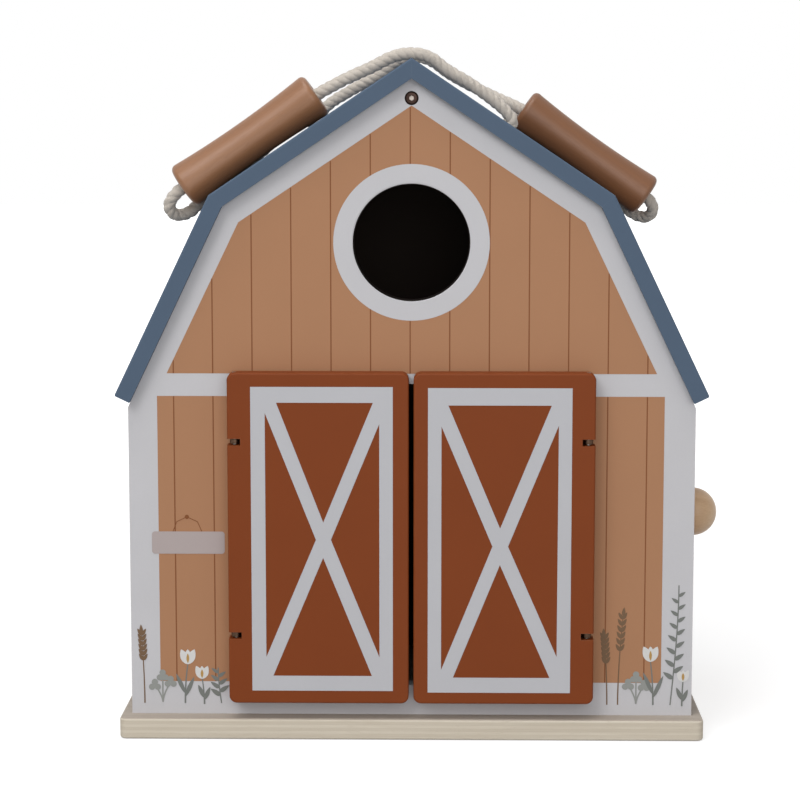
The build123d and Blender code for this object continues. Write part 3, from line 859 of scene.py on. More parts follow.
@dataclass(frozen=True)
class Clover(Plant):
    """One stalk of clover with three round leaves."""

    power: ClassVar[float] = 1.6
    reach: ClassVar[float] = 1.55

    def draw(self, sheet: PrintSheet) -> None:
        """Draws the stalk and the leaves round its tip.

        Args:
            sheet: The print that it belongs to.
        """
        self.stem(sheet, Ink.LEAF_PALE, 6, 0.7, 0.7)
        x, z = self.at(1.0)
        for turn in map(radians, (90, 210, 330)):
            round_leaf = circle(x + self.reach * cos(turn), z + self.reach * sin(turn), 1.5, 20)
            sheet.shape(Ink.LEAF_PALE, Layer.LEAVES, round_leaf)


@dataclass(frozen=True)
class Wheat(Plant):
    """An ear of wheat on a bare stalk."""

    power: ClassVar[float] = 1.8

    def draw(self, sheet: PrintSheet) -> None:
        """Draws the stalk, six pairs of grains and the tip.

        Args:
            sheet: The print that it belongs to.
        """
        self.stem(sheet, Ink.STEM_BROWN, 10, 0.6, 0.4)
        grains = [leaf(self.at(0.6 + 0.07 * i), 3.8, 1.6, turn, 0.5) for i in range(6) for turn in (58, 122)]
        tip = leaf((self.x + self.lean, self.z + self.height - 0.5), 4.0, 1.6, 90 - self.lean * 3, 0.5)
        for outline in (*grains, tip):
            sheet.shape(Ink.STEM_BROWN, Layer.LEAVES, outline)


@dataclass(frozen=True)
class Sprig(Plant):
    """A grey branch with single leaves that take turns, and their number."""

    leaves: int

    def bend(self, share: float) -> float:
        """How much of the lean it has at a share of its height: most of it low down."""
        return sin(share * pi * 0.5)

    def draw(self, sheet: PrintSheet) -> None:
        """Draws the branch and its leaves, which get smaller toward the tip.

        Args:
            sheet: The print that it belongs to.
        """
        self.stem(sheet, Ink.LEAF_GREY, 12, 0.55, 0.55)
        for i in range(self.leaves):
            share = 0.22 + 0.74 * i / self.leaves
            size = 6.2 - 2.6 * share
            blade = leaf(self.at(share), size, size * 0.4, 35 if i % 2 else 145, 0.55)
            sheet.shape(Ink.LEAF_GREY, Layer.LEAVES, blade)


def clover_tuft(x: float, z: float, *heights: float) -> list[Clover]:
    """A tuft of clover at a place, with its stalks' heights from left to right."""
    middle = (len(heights) - 1) / 2
    return [Clover(x, z, height, (i - middle) * 3.7) for i, height in enumerate(heights)]


MEADOW = [
    Wheat(-125.0, 15.0, 34.0, -1.2),
    *clover_tuft(-116.5, 15.5, 8.0, 12.5, 9.5),
    Tulip(-106.0, 15.0, 19.0, 1.4, 7.8),
    Tulip(-97.0, 14.5, 12.5, -1.0, 6.8),
    Sprig(-89.0, 15.0, 17.0, -1.4, 7),
    Wheat(91.5, 15.0, 33.0, -1.6),
    Wheat(96.5, 15.0, 43.0, 2.2),
    *clover_tuft(105.0, 15.5, 9.0, 12.5, 8.5),
    Tulip(113.0, 15.0, 21.0, -1.4, 8.0),
    Sprig(121.0, 15.0, 57.0, 3.4, 14),
    Tulip(126.5, 14.5, 12.0, 0.4, 6.2),
]


@dataclass
class WallPrint:
    """The walls' printed boards: tan fields with board lines, and the trim that is left bare."""

    field_left: float = -117.5
    field_right: float = 116.6
    field_foot: float = 25.5
    field_top: float = 160.2
    band_top: float = 170.7
    low_corner: float = 112.9
    knee_x: float = 79.3
    knee_z: float = 240.2
    peak_z: float = 293.2
    line_width: float = 0.55
    line_step: float = 18.2
    line_shift: float = -0.6
    line_margin: float = 0.3
    shortest_line: float = 0.5
    lines_each_side: int = 6
    door_half: float = 76.0
    ring_outer: float = 35.8
    ring_inner: float = 27.35
    side_half: float = 56.0
    side_top: float = 143.0
    nail: Place = (-104.3, 103.6)

    def line(self, sheet: PrintSheet, x: float, low: float, high: float) -> None:
        """Draws one line between boards, from one height to another."""
        half = self.line_width / 2
        sheet.shape(Ink.BOARD_LINE, Layer.LINES, box_outline(x - half, low, x + half, high))

    def roofline(self, x: float) -> float:
        """The height of the upper field's edge.

        Args:
            x: A place from the middle, in millimetres.

        Returns:
            The height in millimetres.
        """
        x = abs(x)
        if x <= self.knee_x:
            return self.peak_z - (self.peak_z - self.knee_z) * x / self.knee_x
        share = (x - self.knee_x) / (self.low_corner - self.knee_x)
        return self.knee_z - (self.knee_z - self.band_top) * share

    def board_lines(self, sheet: PrintSheet, gaps: Callable[[float], Outline]) -> None:
        """Draws the lines between a gable's boards.

        Args:
            sheet: The print that they belong to.
            gaps: Gives the spans of height, for a line's place, that stay free of it.
        """
        for number in range(-self.lines_each_side, self.lines_each_side + 1):
            x = self.line_shift + self.line_step * number
            top = self.roofline(x) - self.line_margin
            spans = [(self.field_foot, self.field_top), (self.band_top, top)]
            for low, high in gaps(x):
                parts = [part for a, b in spans for part in ((a, min(b, low)), (max(a, high), b))]
                spans = [(a, b) for a, b in parts if b > a]
            for low, high in spans:
                if high - low > self.shortest_line:
                    self.line(sheet, x, low, high)

    def upper_field(self) -> Outline:
        """The outline of the tan field under the roof."""
        x, z, knee_x, knee_z = self.low_corner, self.band_top, self.knee_x, self.knee_z
        return [(-x, z), (x, z), (knee_x, knee_z), (0.0, self.peak_z), (-knee_x, knee_z)]

    def window_and_door(self, x: float) -> Outline:
        """Finds the heights that the front's doorway and ring take up.

        Args:
            x: A place from the middle, in millimetres.

        Returns:
            The spans of height at that place.
        """
        free = []
        if abs(x) < self.door_half:
            free.append((0.0, self.field_top))
        if abs(x) < self.ring_outer:
            reach = sqrt(self.ring_outer**2 - x * x) - self.line_margin
            free.append((WINDOW_Z - reach, WINDOW_Z + reach))
        return free

    def front(self) -> None:
        """Prints the front: fields round the doorway and window, the ring, the blank plank and the plants."""
        sheet = PrintSheet("front_print", "house", "wall_paint", (0, -1, 0), PANEL_Y)
        for x0, x1 in ((self.field_left, -self.door_half), (self.door_half, self.field_right)):
            sheet.shape(Ink.BOARD_TAN, Layer.FIELD, box_outline(x0, self.field_foot, x1, self.field_top))
        hole = circle(0, WINDOW_Z, (self.ring_inner + self.ring_outer) / 2)
        sheet.shape(Ink.BOARD_TAN, Layer.FIELD, self.upper_field(), hole)
        ring = [circle(0, WINDOW_Z, radius) for radius in (self.ring_outer, self.ring_inner)]
        sheet.shape(Ink.TRIM_WHITE, Layer.TRIM, *ring)
        self.board_lines(sheet, self.window_and_door)
        self.blank_plank(sheet)
        for plant in MEADOW:
            plant.draw(sheet)
        sheet.build()

    def blank_plank(self, sheet: PrintSheet) -> None:
        """Prints the plain plank that hangs on a string from a nail.

        Args:
            sheet: The print that it belongs to.
        """
        x, z = self.nail
        for foot, slack in ((-111.0, -1.4), (-97.2, 1.4)):
            string = [self.nail, ((foot + x) / 2 + slack, 101.3), (foot, 96.2)]
            sheet.shape(Ink.BOARD_LINE, Layer.STEMS, stroke(string, [0.35, 0.35, 0.35]))
        sheet.shape(Ink.BOARD_LINE, Layer.LEAVES, circle(x, z, 1.0, 20))
        sheet.shape(Ink.PLANK_GREY, Layer.LEAVES, round_box(-120.7, 86.2, -86.8, 96.7, 1.4))

    def back(self) -> None:
        """Prints the back: the same fields and lines with nothing cut out."""
        sheet = PrintSheet("back_print", "house", "wall_paint", (0, 1, 0), PANEL_Y)
        lower = box_outline(self.field_left, self.field_foot, -self.field_left, self.field_top)
        sheet.shape(Ink.BOARD_TAN, Layer.FIELD, lower)
        sheet.shape(Ink.BOARD_TAN, Layer.FIELD, self.upper_field())
        self.board_lines(sheet, lambda x: [])
        sheet.build()

    def side(self, name: str, body: str, side: Side) -> None:
        """Prints one side wall.

        Args:
            name: The print's name.
            body: The body that it rides on.
            side: Which wall it is.
        """
        sheet = PrintSheet(name, body, "wall_paint", (side.value, 0, 0), WALL_X)
        wall = box_outline(-self.side_half, self.field_foot, self.side_half, self.side_top)
        sheet.shape(Ink.BOARD_TAN, Layer.FIELD, wall)
        reach = int(self.side_half / self.line_step)
        for number in range(-reach, reach + 1):
            self.line(sheet, self.line_step * number, self.field_foot, self.side_top)
        sheet.build()


@dataclass
class DoorPrint:
    """The white frame and cross on one door, round four rust panes."""

    side: Side
    outer: tuple[float, float, float, float]
    panes: list[Outline]

    def build(self) -> None:
        """Prints the frame with the four panes cut out."""
        door = self.side.name.lower() + "_door"
        sheet = PrintSheet(door + "_print", door + "_leaf", "door_paint", (0, -1, 0), DOOR_Y)
        sheet.shape(Ink.DOOR_WHITE, Layer.TRIM, box_outline(*self.outer), *self.panes)
        sheet.build()


LEFT_PANES = [
    [(-61.8, 158.4), (-17.5, 158.4), (-40.4, 102.9)],
    [(-63.8, 30.8), (-40.5, 86.4), (-18.1, 30.8)],
    [(-67.0, 153.7), (-43.8, 94.8), (-67.0, 39.6)],
    [(-14.6, 148.7), (-14.6, 39.6), (-36.9, 94.8)],
]
RIGHT_PANES = [
    [(17.0, 157.3), (64.2, 157.3), (40.9, 100.3)],
    [(19.4, 30.2), (40.9, 83.3), (64.1, 30.2)],
    [(13.9, 147.6), (37.4, 91.9), (13.9, 33.8)],
    [(67.5, 148.1), (67.3, 40.2), (44.6, 91.9)],
]


@dataclass
class Lathe:
    """A turned piece: a profile of places along its axis and radii, spun round."""

    name: str
    body: str
    slot: str
    start: Vector
    axis: Vector
    profile: Outline
    material: Material
    ends: Ends = Ends.JOINED
    segments: int = 96

    def build(self) -> Piece:
        """Spins the profile and lets the piece ride on its body.

        Returns:
            The new piece.
        """
        axis = self.axis.normalized()
        first = axis.orthogonal().normalized()
        second = axis.cross(first)
        points = []
        for along, radius in self.profile:
            for i in range(self.segments):
                turn = 2 * pi * i / self.segments
                arm = (first * cos(turn) + second * sin(turn)) * radius
                points.append(self.start + (axis * along + arm) * MM)
        faces = ring_faces(len(self.profile), self.segments, self.ends)
        piece = new_piece(self.name, points, faces, [self.material])
        set_faces(piece, "use_smooth", [True] * len(faces))
        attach(piece, self.body)
        log.info("%s: turned, %d faces", self.name, len(faces))
        return piece


@dataclass
class SlopeFrame:
    """Places on an upper roof board, by the way down from the ridge and the height over the board."""

    ridge: float = 0.3146
    pitch: float = radians(33.8)

    def point(self, side: int, along: float, across: float, height: float) -> Vector:
        """Gives a point in metres.

        Args:
            side: -1 for the left board and 1 for the right one.
            along: The way down from the ridge.
            across: Its Y.
            height: Its height over the board.

        Returns:
            The point in the house's frame.
        """
        x = along * cos(self.pitch) + height * sin(self.pitch)
        z = self.ridge - along * sin(self.pitch) + height * cos(self.pitch)
        return Vector((side * x, across, z))

    def down(self, side: int) -> Vector:
        """The way down one board."""
        return Vector((side * cos(self.pitch), 0, -sin(self.pitch)))

    def normal(self, side: int) -> Vector:
        """The way straight out of one board."""
        return Vector((side * sin(self.pitch), 0, cos(self.pitch)))


@dataclass
class LaidRope:
    """Three strands twisted round a smooth line."""

    radius: float = 0.00298
    strand_radius: float = 0.00235
    pitch: float = 0.0112
    fuzz: float = 0.0002
    tufts: float = 900.0
    lumps: float = 350.0
    lump_share: float = 0.8
    sides: int = 14
    step: float = 0.0007

    @staticmethod
    def line(points: Sequence[Vector]) -> list[Vector]:
        """Reads the smooth line that a route's points give.

        Args:
            points: The route, as the spline's control points.

        Returns:
            Points along the spline.
        """
        curve = bpy.data.curves.new("route", "CURVE")
        curve.dimensions = "3D"
        curve.resolution_u = 20
        spline = curve.splines.new("NURBS")
        spline.points.add(len(points) - 1)
        for knot, point in zip(spline.points, points):
            knot.co = (*point, 1.0)
        spline.order_u = 3
        spline.use_endpoint_u = True
        holder = bpy.data.objects.new("route", curve)
        bpy.context.scene.collection.objects.link(holder)
        bpy.context.view_layer.update()
        mesh = bpy.data.meshes.new_from_object(holder.evaluated_get(bpy.context.evaluated_depsgraph_get()))
        found = [v.co.copy() for v in mesh.vertices]
        bpy.data.objects.remove(holder)
        bpy.data.meshes.remove(mesh)
        bpy.data.curves.remove(curve)
        return found

    def even(self, points: list[Vector]) -> list[Vector]:
        """Spreads points evenly along a line.

        Args:
            points: The line's points.

        Returns:
            Points one step apart, with both ends kept.
        """
        lengths = [0.0]
        for a, b in zip(points, points[1:]):
            lengths.append(lengths[-1] + (b - a).length)
        count = max(4, round(lengths[-1] / self.step))
        spread, at = [], 0
        for i in range(count + 1):
            want = lengths[-1] * i / count
            while at < len(points) - 2 and lengths[at + 1] < want:
                at += 1
            span = lengths[at + 1] - lengths[at]
            share = 0.0 if span == 0 else (want - lengths[at]) / span
            spread.append(points[at].lerp(points[at + 1], min(1.0, share)))
        return spread

    @staticmethod
    def frames(points: list[Vector]) -> list[tuple[Vector, Vector, Vector]]:
        """Carries a pair of cross directions along a line without twisting them.

        Args:
            points: The line's points.

        Returns:
            For each point its direction and the two cross directions.
        """
        done = []
        arm = Vector((0, 1, 0))
        for i in range(len(points)):
            way = (points[min(i + 1, len(points) - 1)] - points[max(i - 1, 0)]).normalized()
            arm = (arm - way * arm.dot(way)).normalized()
            done.append((way, arm, way.cross(arm)))
        return done

    def strand(self, line: list[Vector], run: float, number: int) -> list[Vector]:
        """Winds one of the three strands round a line.

        Args:
            line: Even points along the rope's middle.
            run: The way from each point to the next.
            number: Which strand it is, from 0.

        Returns:
            The points of the strand's rings, roughened as cotton is.
        """
        points = []
        for i, (centre, (way, arm, cross)) in enumerate(zip(line, self.frames(line))):
            turn = 2 * pi * (i * run / self.pitch + number / 3)
            out = arm * cos(turn) + cross * sin(turn)
            side = way.cross(out)
            middle = centre + out * (self.radius - self.strand_radius)
            for j in range(self.sides):
                angle = 2 * pi * j / self.sides
                bare = middle + (out * cos(angle) + side * sin(angle)) * self.strand_radius
                rough = noise.noise(bare * self.tufts) + self.lump_share * noise.noise(bare * self.lumps)
                points.append(bare + (bare - middle).normalized() * self.fuzz * rough)
        return points

    def strands(self, name: str, lines: Sequence[list[Vector]], material: Material) -> Piece:
        """Builds the twisted strands along one or more lines, with a UV map round and along each.

        Args:
            name: The piece's name.
            lines: The lines, in metres.
            material: The cotton.

        Returns:
            The new piece.
        """
        points, faces, uvs = [], [], []
        n = self.sides
        for line in map(self.even, lines):
            run = (line[1] - line[0]).length
            for number in range(3):
                faces += ring_faces(len(line), n, Ends.CAPPED, len(points))
                points += self.strand(line, run, number)
                for i in range(len(line) - 1):
                    low, high = i * run, (i + 1) * run
                    for j in range(n):
                        uvs += [(j / n, low), ((j + 1) / n, low), ((j + 1) / n, high), (j / n, high)]
                uvs += [(0.5, 0.0)] * n + [(0.5, (len(line) - 1) * run)] * n
        piece = new_piece(name, points, faces, [material])
        set_faces(piece, "use_smooth", [True] * len(faces))
        layer = piece.data.uv_layers.new(name="strand")
        layer.data.foreach_set("uv", [c for uv in uvs for c in uv])
        return piece


@dataclass
class RopeHandle:
    """One carrying rope with its grip and its two knots under the roof."""

    end: str
    route: list[tuple[int, float, float, float]]
    cotton: Material
    grip_side: int
    grip_along: float
    grip_across: float
    grip_height: float
    grip_tilt: float
    slope: SlopeFrame = field(default_factory=SlopeFrame)
    rope: LaidRope = field(default_factory=LaidRope)
    grip_radius: float = 10.9
    waist_radius: float = 9.4
    grip_length: float = 75.6
    bore_radius: float = 4.2
    end_round: float = 2.6
    bore_round: float = 0.8
    knot_depth: float = 0.0140
    knot_rise: float = 0.0037
    knot_reach: float = 0.0031
    knot_start: float = 0.0012

    @property
    def name(self) -> str:
        """The rope's node."""
        return self.end + "_rope"

    def free_rope(self) -> None:
        """Lays the rope over the ridge, through its grip and back into its hole."""
        points = [self.slope.point(*place) for place in self.route]
        line = self.rope.line(points)
        piece = self.rope.strands(self.name + "_strands", [line], self.cotton)
        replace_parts(piece, self.name)
        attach(piece, "house")
        self.knots()

    def knots(self) -> Piece:
        """Ties the stopper knots: the rope goes down its hole, turns and winds round itself.

        Returns:
            The piece with both knots.
        """
        hole_along, hole_across = self.route[0][1:3]
        lines = []
        for side in (-1, 1):
            top = self.slope.point(side, hole_along, hole_across, 0.0)
            down = -self.slope.normal(side)
            first = self.slope.down(side)
            second = down.cross(first)
            route = [top + down * depth for depth in (0.0, 0.004, 0.0085, 0.0122)]
            for i in range(15):
                turn = 2 * pi * i / 7.5
                depth = self.knot_depth - self.knot_rise * i / 14
                reach = self.knot_reach if i else self.knot_start
                route.append(top + down * depth + (first * cos(turn) + second * sin(turn)) * reach)
            lines.append(self.rope.line(route))
        piece = self.rope.strands(self.name + "_stoppers", lines, self.cotton)
        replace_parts(piece, self.name + "_knots")
        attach(piece, "house")
        log.info("%s: two stopper knots", self.name)
        return piece

    def grip_axis(self) -> Vector:
        """The grip's direction, from its end at the ridge to its end at the eave."""
        lean = self.slope.pitch + radians(self.grip_tilt)
        return Vector((self.grip_side * cos(lean), 0, -sin(lean)))

    def outer(self, along: float) -> Place:
        """A place along the grip and its radius there."""
        share = 2 * along / self.grip_length - 1
        return along, self.grip_radius - (self.grip_radius - self.waist_radius) * (1 - share * share)

    def grip_profile(self) -> Outline:
        """The grip's places along its axis and radii: a slim waist between two rounded ends.

        Returns:
            The closed profile, from the end at the ridge.
        """
        length, e, b = self.grip_length, self.end_round, self.bore_round
        corner = self.outer(e)[1] - e
        profile = arc_points(e, corner, e, 180, 92, 8)
        profile += [self.outer(e + (length - 2 * e) * i / 24) for i in range(25)]
        profile += arc_points(length - e, corner, e, 88, 0, 8)
        profile += arc_points(length - b, self.bore_radius + b, b, 0, -90)
        profile += arc_points(b, self.bore_radius + b, b, -90, -180)
        return profile

    def grip(self, wood: Material) -> None:
        """Turns the wooden grip.

        Args:
            wood: The grip's material.
        """
        middle = self.slope.point(self.grip_side, self.grip_along, self.grip_across, self.grip_height)
        axis = self.grip_axis()
        start = middle - axis * self.grip_length * MM / 2
        body = self.end + "_handle"
        profile = self.grip_profile()[::-1]
        piece = Lathe(body + "_wood", body, "stained_wood", start, axis, profile, wood).build()
        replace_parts(piece, self.end + "_grip")


def route(*runs: tuple[int, list[Triple]]) -> list[tuple[int, float, float, float]]:
    """Joins a rope's runs on the left (-1) and right (1) board into one route."""
    return [(side, *place) for side, places in runs for place in places]


FRONT_ROUTE = route(
    (1, [
        (0.0555, -0.0400, 0.0000), (0.0550, -0.0400, 0.0027), (0.0506, -0.0405, 0.0042),
        (0.0450, -0.0411, 0.0052), (0.0365, -0.0420, 0.0057), (0.0265, -0.0432, 0.0057),
        (0.0160, -0.0446, 0.0046), (0.0042, -0.0460, 0.0060),
    ]),
    (-1, [
        (0.0042, -0.0474, 0.0060), (0.0165, -0.0494, 0.0071), (0.0290, -0.0516, 0.0093),
        (0.0400, -0.0535, 0.0106), (0.0520, -0.0542, 0.0114), (0.0720, -0.0537, 0.0107),
        (0.0960, -0.0543, 0.0107), (0.1150, -0.0539, 0.0102), (0.1260, -0.0537, 0.0101),
        (0.1326, -0.0516, 0.0072), (0.1332, -0.0480, 0.0018), (0.1276, -0.0442, -0.0012),
        (0.1196, -0.0418, 0.0002), (0.1114, -0.0406, 0.0039), (0.1015, -0.0400, 0.0037),
        (0.0885, -0.0396, 0.0033), (0.0770, -0.0401, 0.0044), (0.0668, -0.0399, 0.0082),
        (0.0594, -0.0400, 0.0090), (0.0555, -0.0400, 0.0048), (0.0555, -0.0400, 0.0000),
    ]),
)
BACK_ROUTE = route(
    (-1, [
        (0.0555, 0.0400, 0.0000), (0.0555, 0.0400, 0.0032), (0.0516, 0.0397, 0.0060),
        (0.0454, 0.0392, 0.0071), (0.0355, 0.0381, 0.0065), (0.0255, 0.0367, 0.0056),
        (0.0155, 0.0352, 0.0047), (0.0042, 0.0334, 0.0062),
    ]),
    (1, [
        (0.0042, 0.0320, 0.0063), (0.0175, 0.0300, 0.0049), (0.0310, 0.0280, 0.0064),
        (0.0435, 0.0267, 0.0083), (0.0540, 0.0260, 0.0103), (0.0670, 0.0258, 0.0112),
        (0.0880, 0.0263, 0.0103), (0.1100, 0.0258, 0.0100), (0.1270, 0.0261, 0.0094),
        (0.1358, 0.0262, 0.0092), (0.1404, 0.0287, 0.0060), (0.1404, 0.0326, 0.0013),
        (0.1354, 0.0360, -0.0012), (0.1274, 0.0385, -0.0009), (0.1194, 0.0398, 0.0013),
        (0.1110, 0.0403, 0.0038), (0.1005, 0.0400, 0.0037), (0.0880, 0.0404, 0.0033),
        (0.0770, 0.0399, 0.0044), (0.0668, 0.0401, 0.0082), (0.0594, 0.0400, 0.0090),
        (0.0555, 0.0400, 0.0048), (0.0555, 0.0400, 0.0000),
    ]),
)


@dataclass
class Studio:
    """The camera at the photograph's viewing angle, the pale floor and the soft lights."""

    eye: Triple = (0.0125, -1.124, 0.291)
    pitch: float = radians(7.06)
    yaw: float = radians(-0.97)
    focal_px: float = 2294.0
    frame_px: float = 800.0
    sensor: float = 36.0
    aim: Triple = (0, 0, 0.17)
    soft_light: float = 0.36
    floor_grey: float = 0.45
    floor_half: float = 6.0
    floor_z: float = -0.0002

    def camera(self) -> None:
        """Sets up the camera."""
        data = bpy.data.cameras.new("camera")
        data.sensor_fit = "HORIZONTAL"
        data.sensor_width = self.sensor
        data.lens = self.sensor * self.focal_px / self.frame_px
        data.clip_start = 0.01
        data.clip_end = 50.0
        camera = bpy.data.objects.new("camera", data)
        way = Vector((sin(self.yaw) * cos(self.pitch), cos(self.yaw) * cos(self.pitch), -sin(self.pitch)))
        right = Vector((cos(self.yaw), -sin(self.yaw), 0.0))
        turn = Matrix((right, right.cross(way), -way)).transposed().to_4x4()
        camera.matrix_world = Matrix.Translation(Vector(self.eye)) @ turn
        bpy.context.scene.collection.objects.link(camera)
        bpy.context.scene.camera = camera
        bpy.context.scene.view_settings.view_transform = "Standard"
        log.info("camera: lens %.1f mm", data.lens)

    def lamp(self, name: str, place: Triple, size: float, power: float) -> None:
        """Adds one soft lamp.

        Args:
            name: The lamp's name.
            place: Where it stands.
            size: The side of its square.
            power: Its power in watts.
        """
        data = bpy.data.lights.new(name, "AREA")
        data.shape = "SQUARE"
        data.size = size
        data.energy = power
        lamp = bpy.data.objects.new(name, data)
        lamp.location = place
        lamp.rotation_euler = (Vector(self.aim) - Vector(place)).to_track_quat("-Z", "Y").to_euler()
        bpy.context.scene.collection.objects.link(lamp)

    def lights(self) -> None:
        """Sets the lamps and the plain pale world, which the camera sees as white."""
        self.lamp("key", (-1.1, -1.9, 1.9), 1.3, 26.5)
        self.lamp("fill", (0.5, -2.6, 0.75), 1.8, 22.0)
        self.lamp("top", (-0.3, -0.4, 2.3), 1.2, 20.0)
        world = bpy.data.worlds.new("world")
        bpy.context.scene.world = world
        world.use_nodes = True
        world.node_tree.nodes.clear()
        w = Wiring(world.node_tree)
        through = w.add("ShaderNodeLightPath").outputs["Is Transmission Ray"]
        white = (1, 1, 1, 1)
        soft = w.add("ShaderNodeBackground", {"Color": white, "Strength": self.soft_light})
        bright = w.add("ShaderNodeBackground", {"Color": white, "Strength": 1.0})
        values = {0: w.maths("MAXIMUM", w.seen(), through), 1: soft.outputs[0], 2: bright.outputs[0]}
        w.add("ShaderNodeOutputWorld", {0: w.add("ShaderNodeMixShader", values).outputs[0]})

    def floor(self) -> None:
        """Lays the pale floor, which keeps the object's shadow and turns white far away."""
        material = bpy.data.materials.new("pale_floor")
        material.use_nodes = True
        material.node_tree.nodes.clear()
        w = Wiring(material.node_tree)
        grey = self.floor_grey
        paper = w.add("ShaderNodeBsdfDiffuse", {"Color": (grey, grey, grey, 1)})
        far = w.maths("MULTIPLY_ADD", w.measure("LENGTH", w.place()), 0.8, -0.24, clamp=True)
        level = w.maths("MULTIPLY", w.seen(), w.maths("MULTIPLY_ADD", far, 0.5, 0.7))
        glow = w.add("ShaderNodeEmission", {"Color": (1, 1, 1, 1), "Strength": level})
        both = w.add("ShaderNodeAddShader", {0: paper.outputs[0], 1: glow.outputs[0]})
        w.add("ShaderNodeOutputMaterial", {"Surface": both.outputs[0]})
        h = self.floor_half
        corners = [Vector((x, y, self.floor_z)) for x, y in box_outline(-h, -h, h, h)]
        new_piece("studio_floor", corners, [(0, 1, 2, 3)], [material])
        log.info("floor and lights are set")


@dataclass
class Knob:
    """The turned knob on the side that drops down, in millimetres from the wall's face."""

    height: float = 93.8
    foot: float = 7.0
    foot_round: float = 0.4
    neck: float = 5.6
    neck_at: float = 3.4
    widest: float = 11.8
    widest_at: float = 7.6
    tip: float = 19.2
    least: float = 0.02

    def build(self, wood: Material) -> None:
        """Turns the knob and stands it for its node.

        Args:
            wood: The knob's material.
        """
        e = self.foot_round
        profile = [(0.0, self.least), (0.0, self.foot - e), *arc_points(e, self.foot - e, e, 180, 90, 3)]
        for share in (i / 6 for i in range(1, 6)):
            drop = (self.foot - self.neck) * (0.5 - 0.5 * cos(pi * share))
            profile.append((e + (self.neck_at - e) * share, self.foot - drop))
        for share in (i / 10 for i in range(10)):
            along = self.neck_at + (self.widest_at - self.neck_at) * share
            profile.append((along, self.neck + (self.widest - self.neck) * sin(pi / 2 * share) ** 0.9))
        for turn in (pi / 2 * i / 16 for i in range(17)):
            along = self.widest_at + (self.tip - self.widest_at) * sin(turn)
            profile.append((along, max(self.least, self.widest * cos(turn))))
        start, axis = Vector((WALL_X, 0.0, self.height)) * MM, Vector((1, 0, 0))
        knob = Lathe("knob_wood", "drop_side", "beech", start, axis, profile[::-1], wood, Ends.CAPPED)
        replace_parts(knob.build(), "side_knob")


@dataclass
class SocketScrew:
    """A screw at the peak: a low domed head with a hexagon socket, and its hidden shank."""

    facing: int
    height: float = 296.53
    head_radius: float = 3.15
    recess: float = 0.6
    head_height: float = 2.2
    dome: float = 0.75
    socket: float = 1.05
    socket_depth: float = 1.3
    shank_radius: float = 1.6
    length: float = 26.0
    point: float = 3.0
    segments: int = 48

    def ring(self, along: float, radius: float, hexagon: bool) -> list[Vector]:
        """Gives one ring of the screw.

        Args:
            along: How far it lies behind the head's rim plane, in millimetres.
            radius: Its radius, or the hexagon's half width.
            hexagon: Whether it's a hexagon.

        Returns:
            The ring's points in metres.
        """
        points = []
        y = self.facing * (PANEL_Y - self.recess - along)
        for i in range(self.segments):
            turn = 2 * pi * i / self.segments
            reach = radius / cos((turn + pi / 6) % (pi / 3) - pi / 6) if hexagon else radius
            points.append(Vector((reach * cos(turn), y, self.height + reach * sin(turn))) * MM)
        return points

    def rings(self) -> list[tuple[float, float, bool]]:
        """The screw's rings, from the socket's bottom over the head to the point.

        Returns:
            For each ring what the method ring takes.
        """
        rim = self.socket + 0.5
        rings = [(self.socket_depth, 0.02, True), (self.socket_depth, self.socket * 0.96, True)]
        rings += [(0.12, self.socket, True), (0.0, self.socket + 0.22, True), (0.02, rim, False)]
        for turn in (pi / 2 * i / 8 for i in range(1, 9)):
            rings.append((self.dome * (1 - cos(turn)), rim + (self.head_radius - rim) * sin(turn), False))
        rings += [(self.head_height, radius, False) for radius in (self.head_radius, self.shank_radius)]
        return rings + [(self.length - self.point, self.shank_radius, False), (self.length, 0.02, False)]

    def build(self, bronze: Material, bright: Material) -> None:
        """Makes the screw and stands it for its node.

        Args:
            bronze: The metal of the head and shank.
            bright: The brighter metal in the socket, a painted highlight.
        """
        rings, n = self.rings(), self.segments
        points = [point for ring in rings for point in self.ring(*ring)]
        faces = ring_faces(len(rings), n, Ends.OPEN)
        if self.facing < 0:
            faces = [face[::-1] for face in faces]
        name = "peak_screw_front" if self.facing < 0 else "peak_screw_back"
        piece = new_piece(name, points, faces, [bronze, bright])
        # The socket's floor and walls take the brighter metal: a painted highlight.
        set_faces(piece, "material_index", [int(i < 2 * n) for i in range(len(faces))])
        set_faces(piece, "use_smooth", [i >= 4 * n for i in range(len(faces))])
        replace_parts(piece, "gable_screws")
        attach(piece, "house")
        log.info("%s: %d faces", name, len(faces))


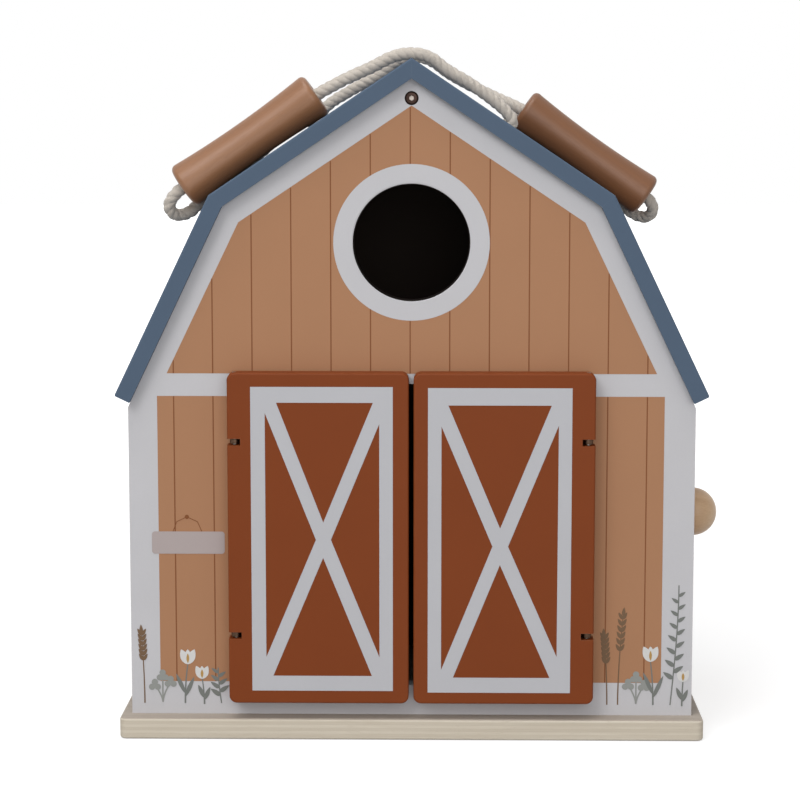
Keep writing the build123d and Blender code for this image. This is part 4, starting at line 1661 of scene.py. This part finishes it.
@dataclass
class House:
    """The painted boards, the base and the small hardware, dressed as packed."""

    white: Rgb = (196, 195, 198)
    rust: Rgb = (121, 57, 20)
    rust_worn: Rgb = (176, 130, 100)
    blue: Rgb = (78, 94, 113)
    blue_worn: Rgb = (132, 144, 156)
    # The roof boards' slopes, near enough to tell their inner faces from their outer ones.
    upper_pitch: float = radians(34.0)
    lower_pitch: float = radians(65.0)

    def boards(self) -> None:
        """Paints the walls, roof boards and doors, with painted shade on the walls' and roof boards' faces
        that look into the house.
        """
        walls = {
            "front_panel": (0.0, -1.0, 0.0),
            "back_panel": (0.0, 1.0, 0.0),
            "left_wall": (-1.0, 0.0, 0.0),
            "side_flap": (1.0, 0.0, 0.0),
        }
        for node, way in walls.items():
            dress(MattePaint(node + "_white", self.white, outward=way, wear=0.22).material(), node)
        blue = {"colour": self.blue, "worn": self.blue_worn, "mottle": 0.07, "wear": 0.12}
        for row, pitch in (("upper", self.upper_pitch), ("lower", self.lower_pitch)):
            for side in Side:
                node = "roof_" + row + "_" + side.name.lower()
                way = (side.value * sin(pitch), 0.0, cos(pitch))
                dress(MattePaint(node + "_blue", outward=way, **blue).material(), node)
        rust = MattePaint("door_rust", self.rust, self.rust_worn, mottle=0.07, roughness=0.55)
        dress(rust.material(), "left_door", "right_door")

    def plain_wood(self) -> None:
        """Gives the base its plywood and the hidden strips their pine."""
        dress(PlyBoard("base_ply").material(), "base_board")
        pine = TurnedWood("inner_pine", (92, 74, 58), (60, 46, 36), along=(0, 1, 0), wear=0.0, coat=0.0)
        dress(pine.material(), "ridge_beam", "eave_rail")
        dowels = TurnedWood("dowel_beech", (206, 180, 148), (170, 138, 104), along=(0, 1, 0), wear=0.0)
        dress(dowels.material(), "wall_dowels")

    def hardware(self) -> None:
        """Dresses the screws, eyes, pins and magnets."""
        bronze = SmallMetal("bronzed_steel", (58, 45, 40), 0.36).material()
        # A brighter steel for the screws' sockets: a painted highlight.
        socket_highlight = SmallMetal("rubbed_steel", (168, 158, 150), 0.42).material()
        for facing in (-1, 1):
            SocketScrew(facing).build(bronze, socket_highlight)
        dress(SmallMetal("dark_eye_steel", (88, 69, 56), 0.38).material(), "hinge_eyes")
        pins = ("base_screws", "left_hinge_pins", "right_hinge_pins", "flap_pivot_pins", "knob_screw")
        dress(SmallMetal("zinc_steel", (176, 176, 172), 0.34).material(), *pins)
        nickel = SmallMetal("magnet_nickel", (188, 186, 180), 0.2).material()
        dress(nickel, "rail_magnets", "flap_magnets")


def main() -> None:
    """Builds the farmhouse in order: camera and ropes first, then boards, prints and hardware."""
    logging.basicConfig(level=logging.INFO, format="%(name)s: %(message)s")
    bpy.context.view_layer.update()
    studio = Studio()
    studio.camera()
    cotton = CottonCord("cotton_rope").material()
    front = RopeHandle("front", FRONT_ROUTE, cotton, -1, 0.0836, -0.054, 0.0107, 0.9)
    back = RopeHandle("back", BACK_ROUTE, cotton, 1, 0.0954, 0.026, 0.0102, 1.5)
    # Both grips share one real colour: the back grip's darker colours and thinner coat are painted shade, and
    # the front grip's lighter colours and thicker coat a painted highlight.
    stains_and_shading = ((front, (143, 97, 61), (110, 70, 41), 0.25), (back, (124, 80, 48), (94, 58, 33), 0.08))
    for handle, light, dark, coat in stains_and_shading:
        handle.free_rope()
        along = tuple(handle.grip_axis())
        stain_and_shading = TurnedWood(handle.name + "_stain", light, dark, along=along, contrast=0.45, coat=coat)
        handle.grip(stain_and_shading.material())
    studio.lights()
    studio.floor()
    house = House()
    house.boards()
    house.plain_wood()
    house.hardware()
    wall = WallPrint()
    wall.front()
    wall.back()
    wall.side("left_wall_print", "house", Side.LEFT)
    wall.side("flap_print", "drop_side", Side.RIGHT)
    DoorPrint(Side.LEFT, (-73.6, 23.7, -8.4, 165.7), LEFT_PANES).build()
    DoorPrint(Side.RIGHT, (7.7, 23.05, 73.6, 165.3), RIGHT_PANES).build()
    Knob().build(TurnedWood("knob_beech", (204, 171, 134), (164, 126, 90), contrast=0.5, coat=0.3).material())


if __name__ == "__main__":
    main()
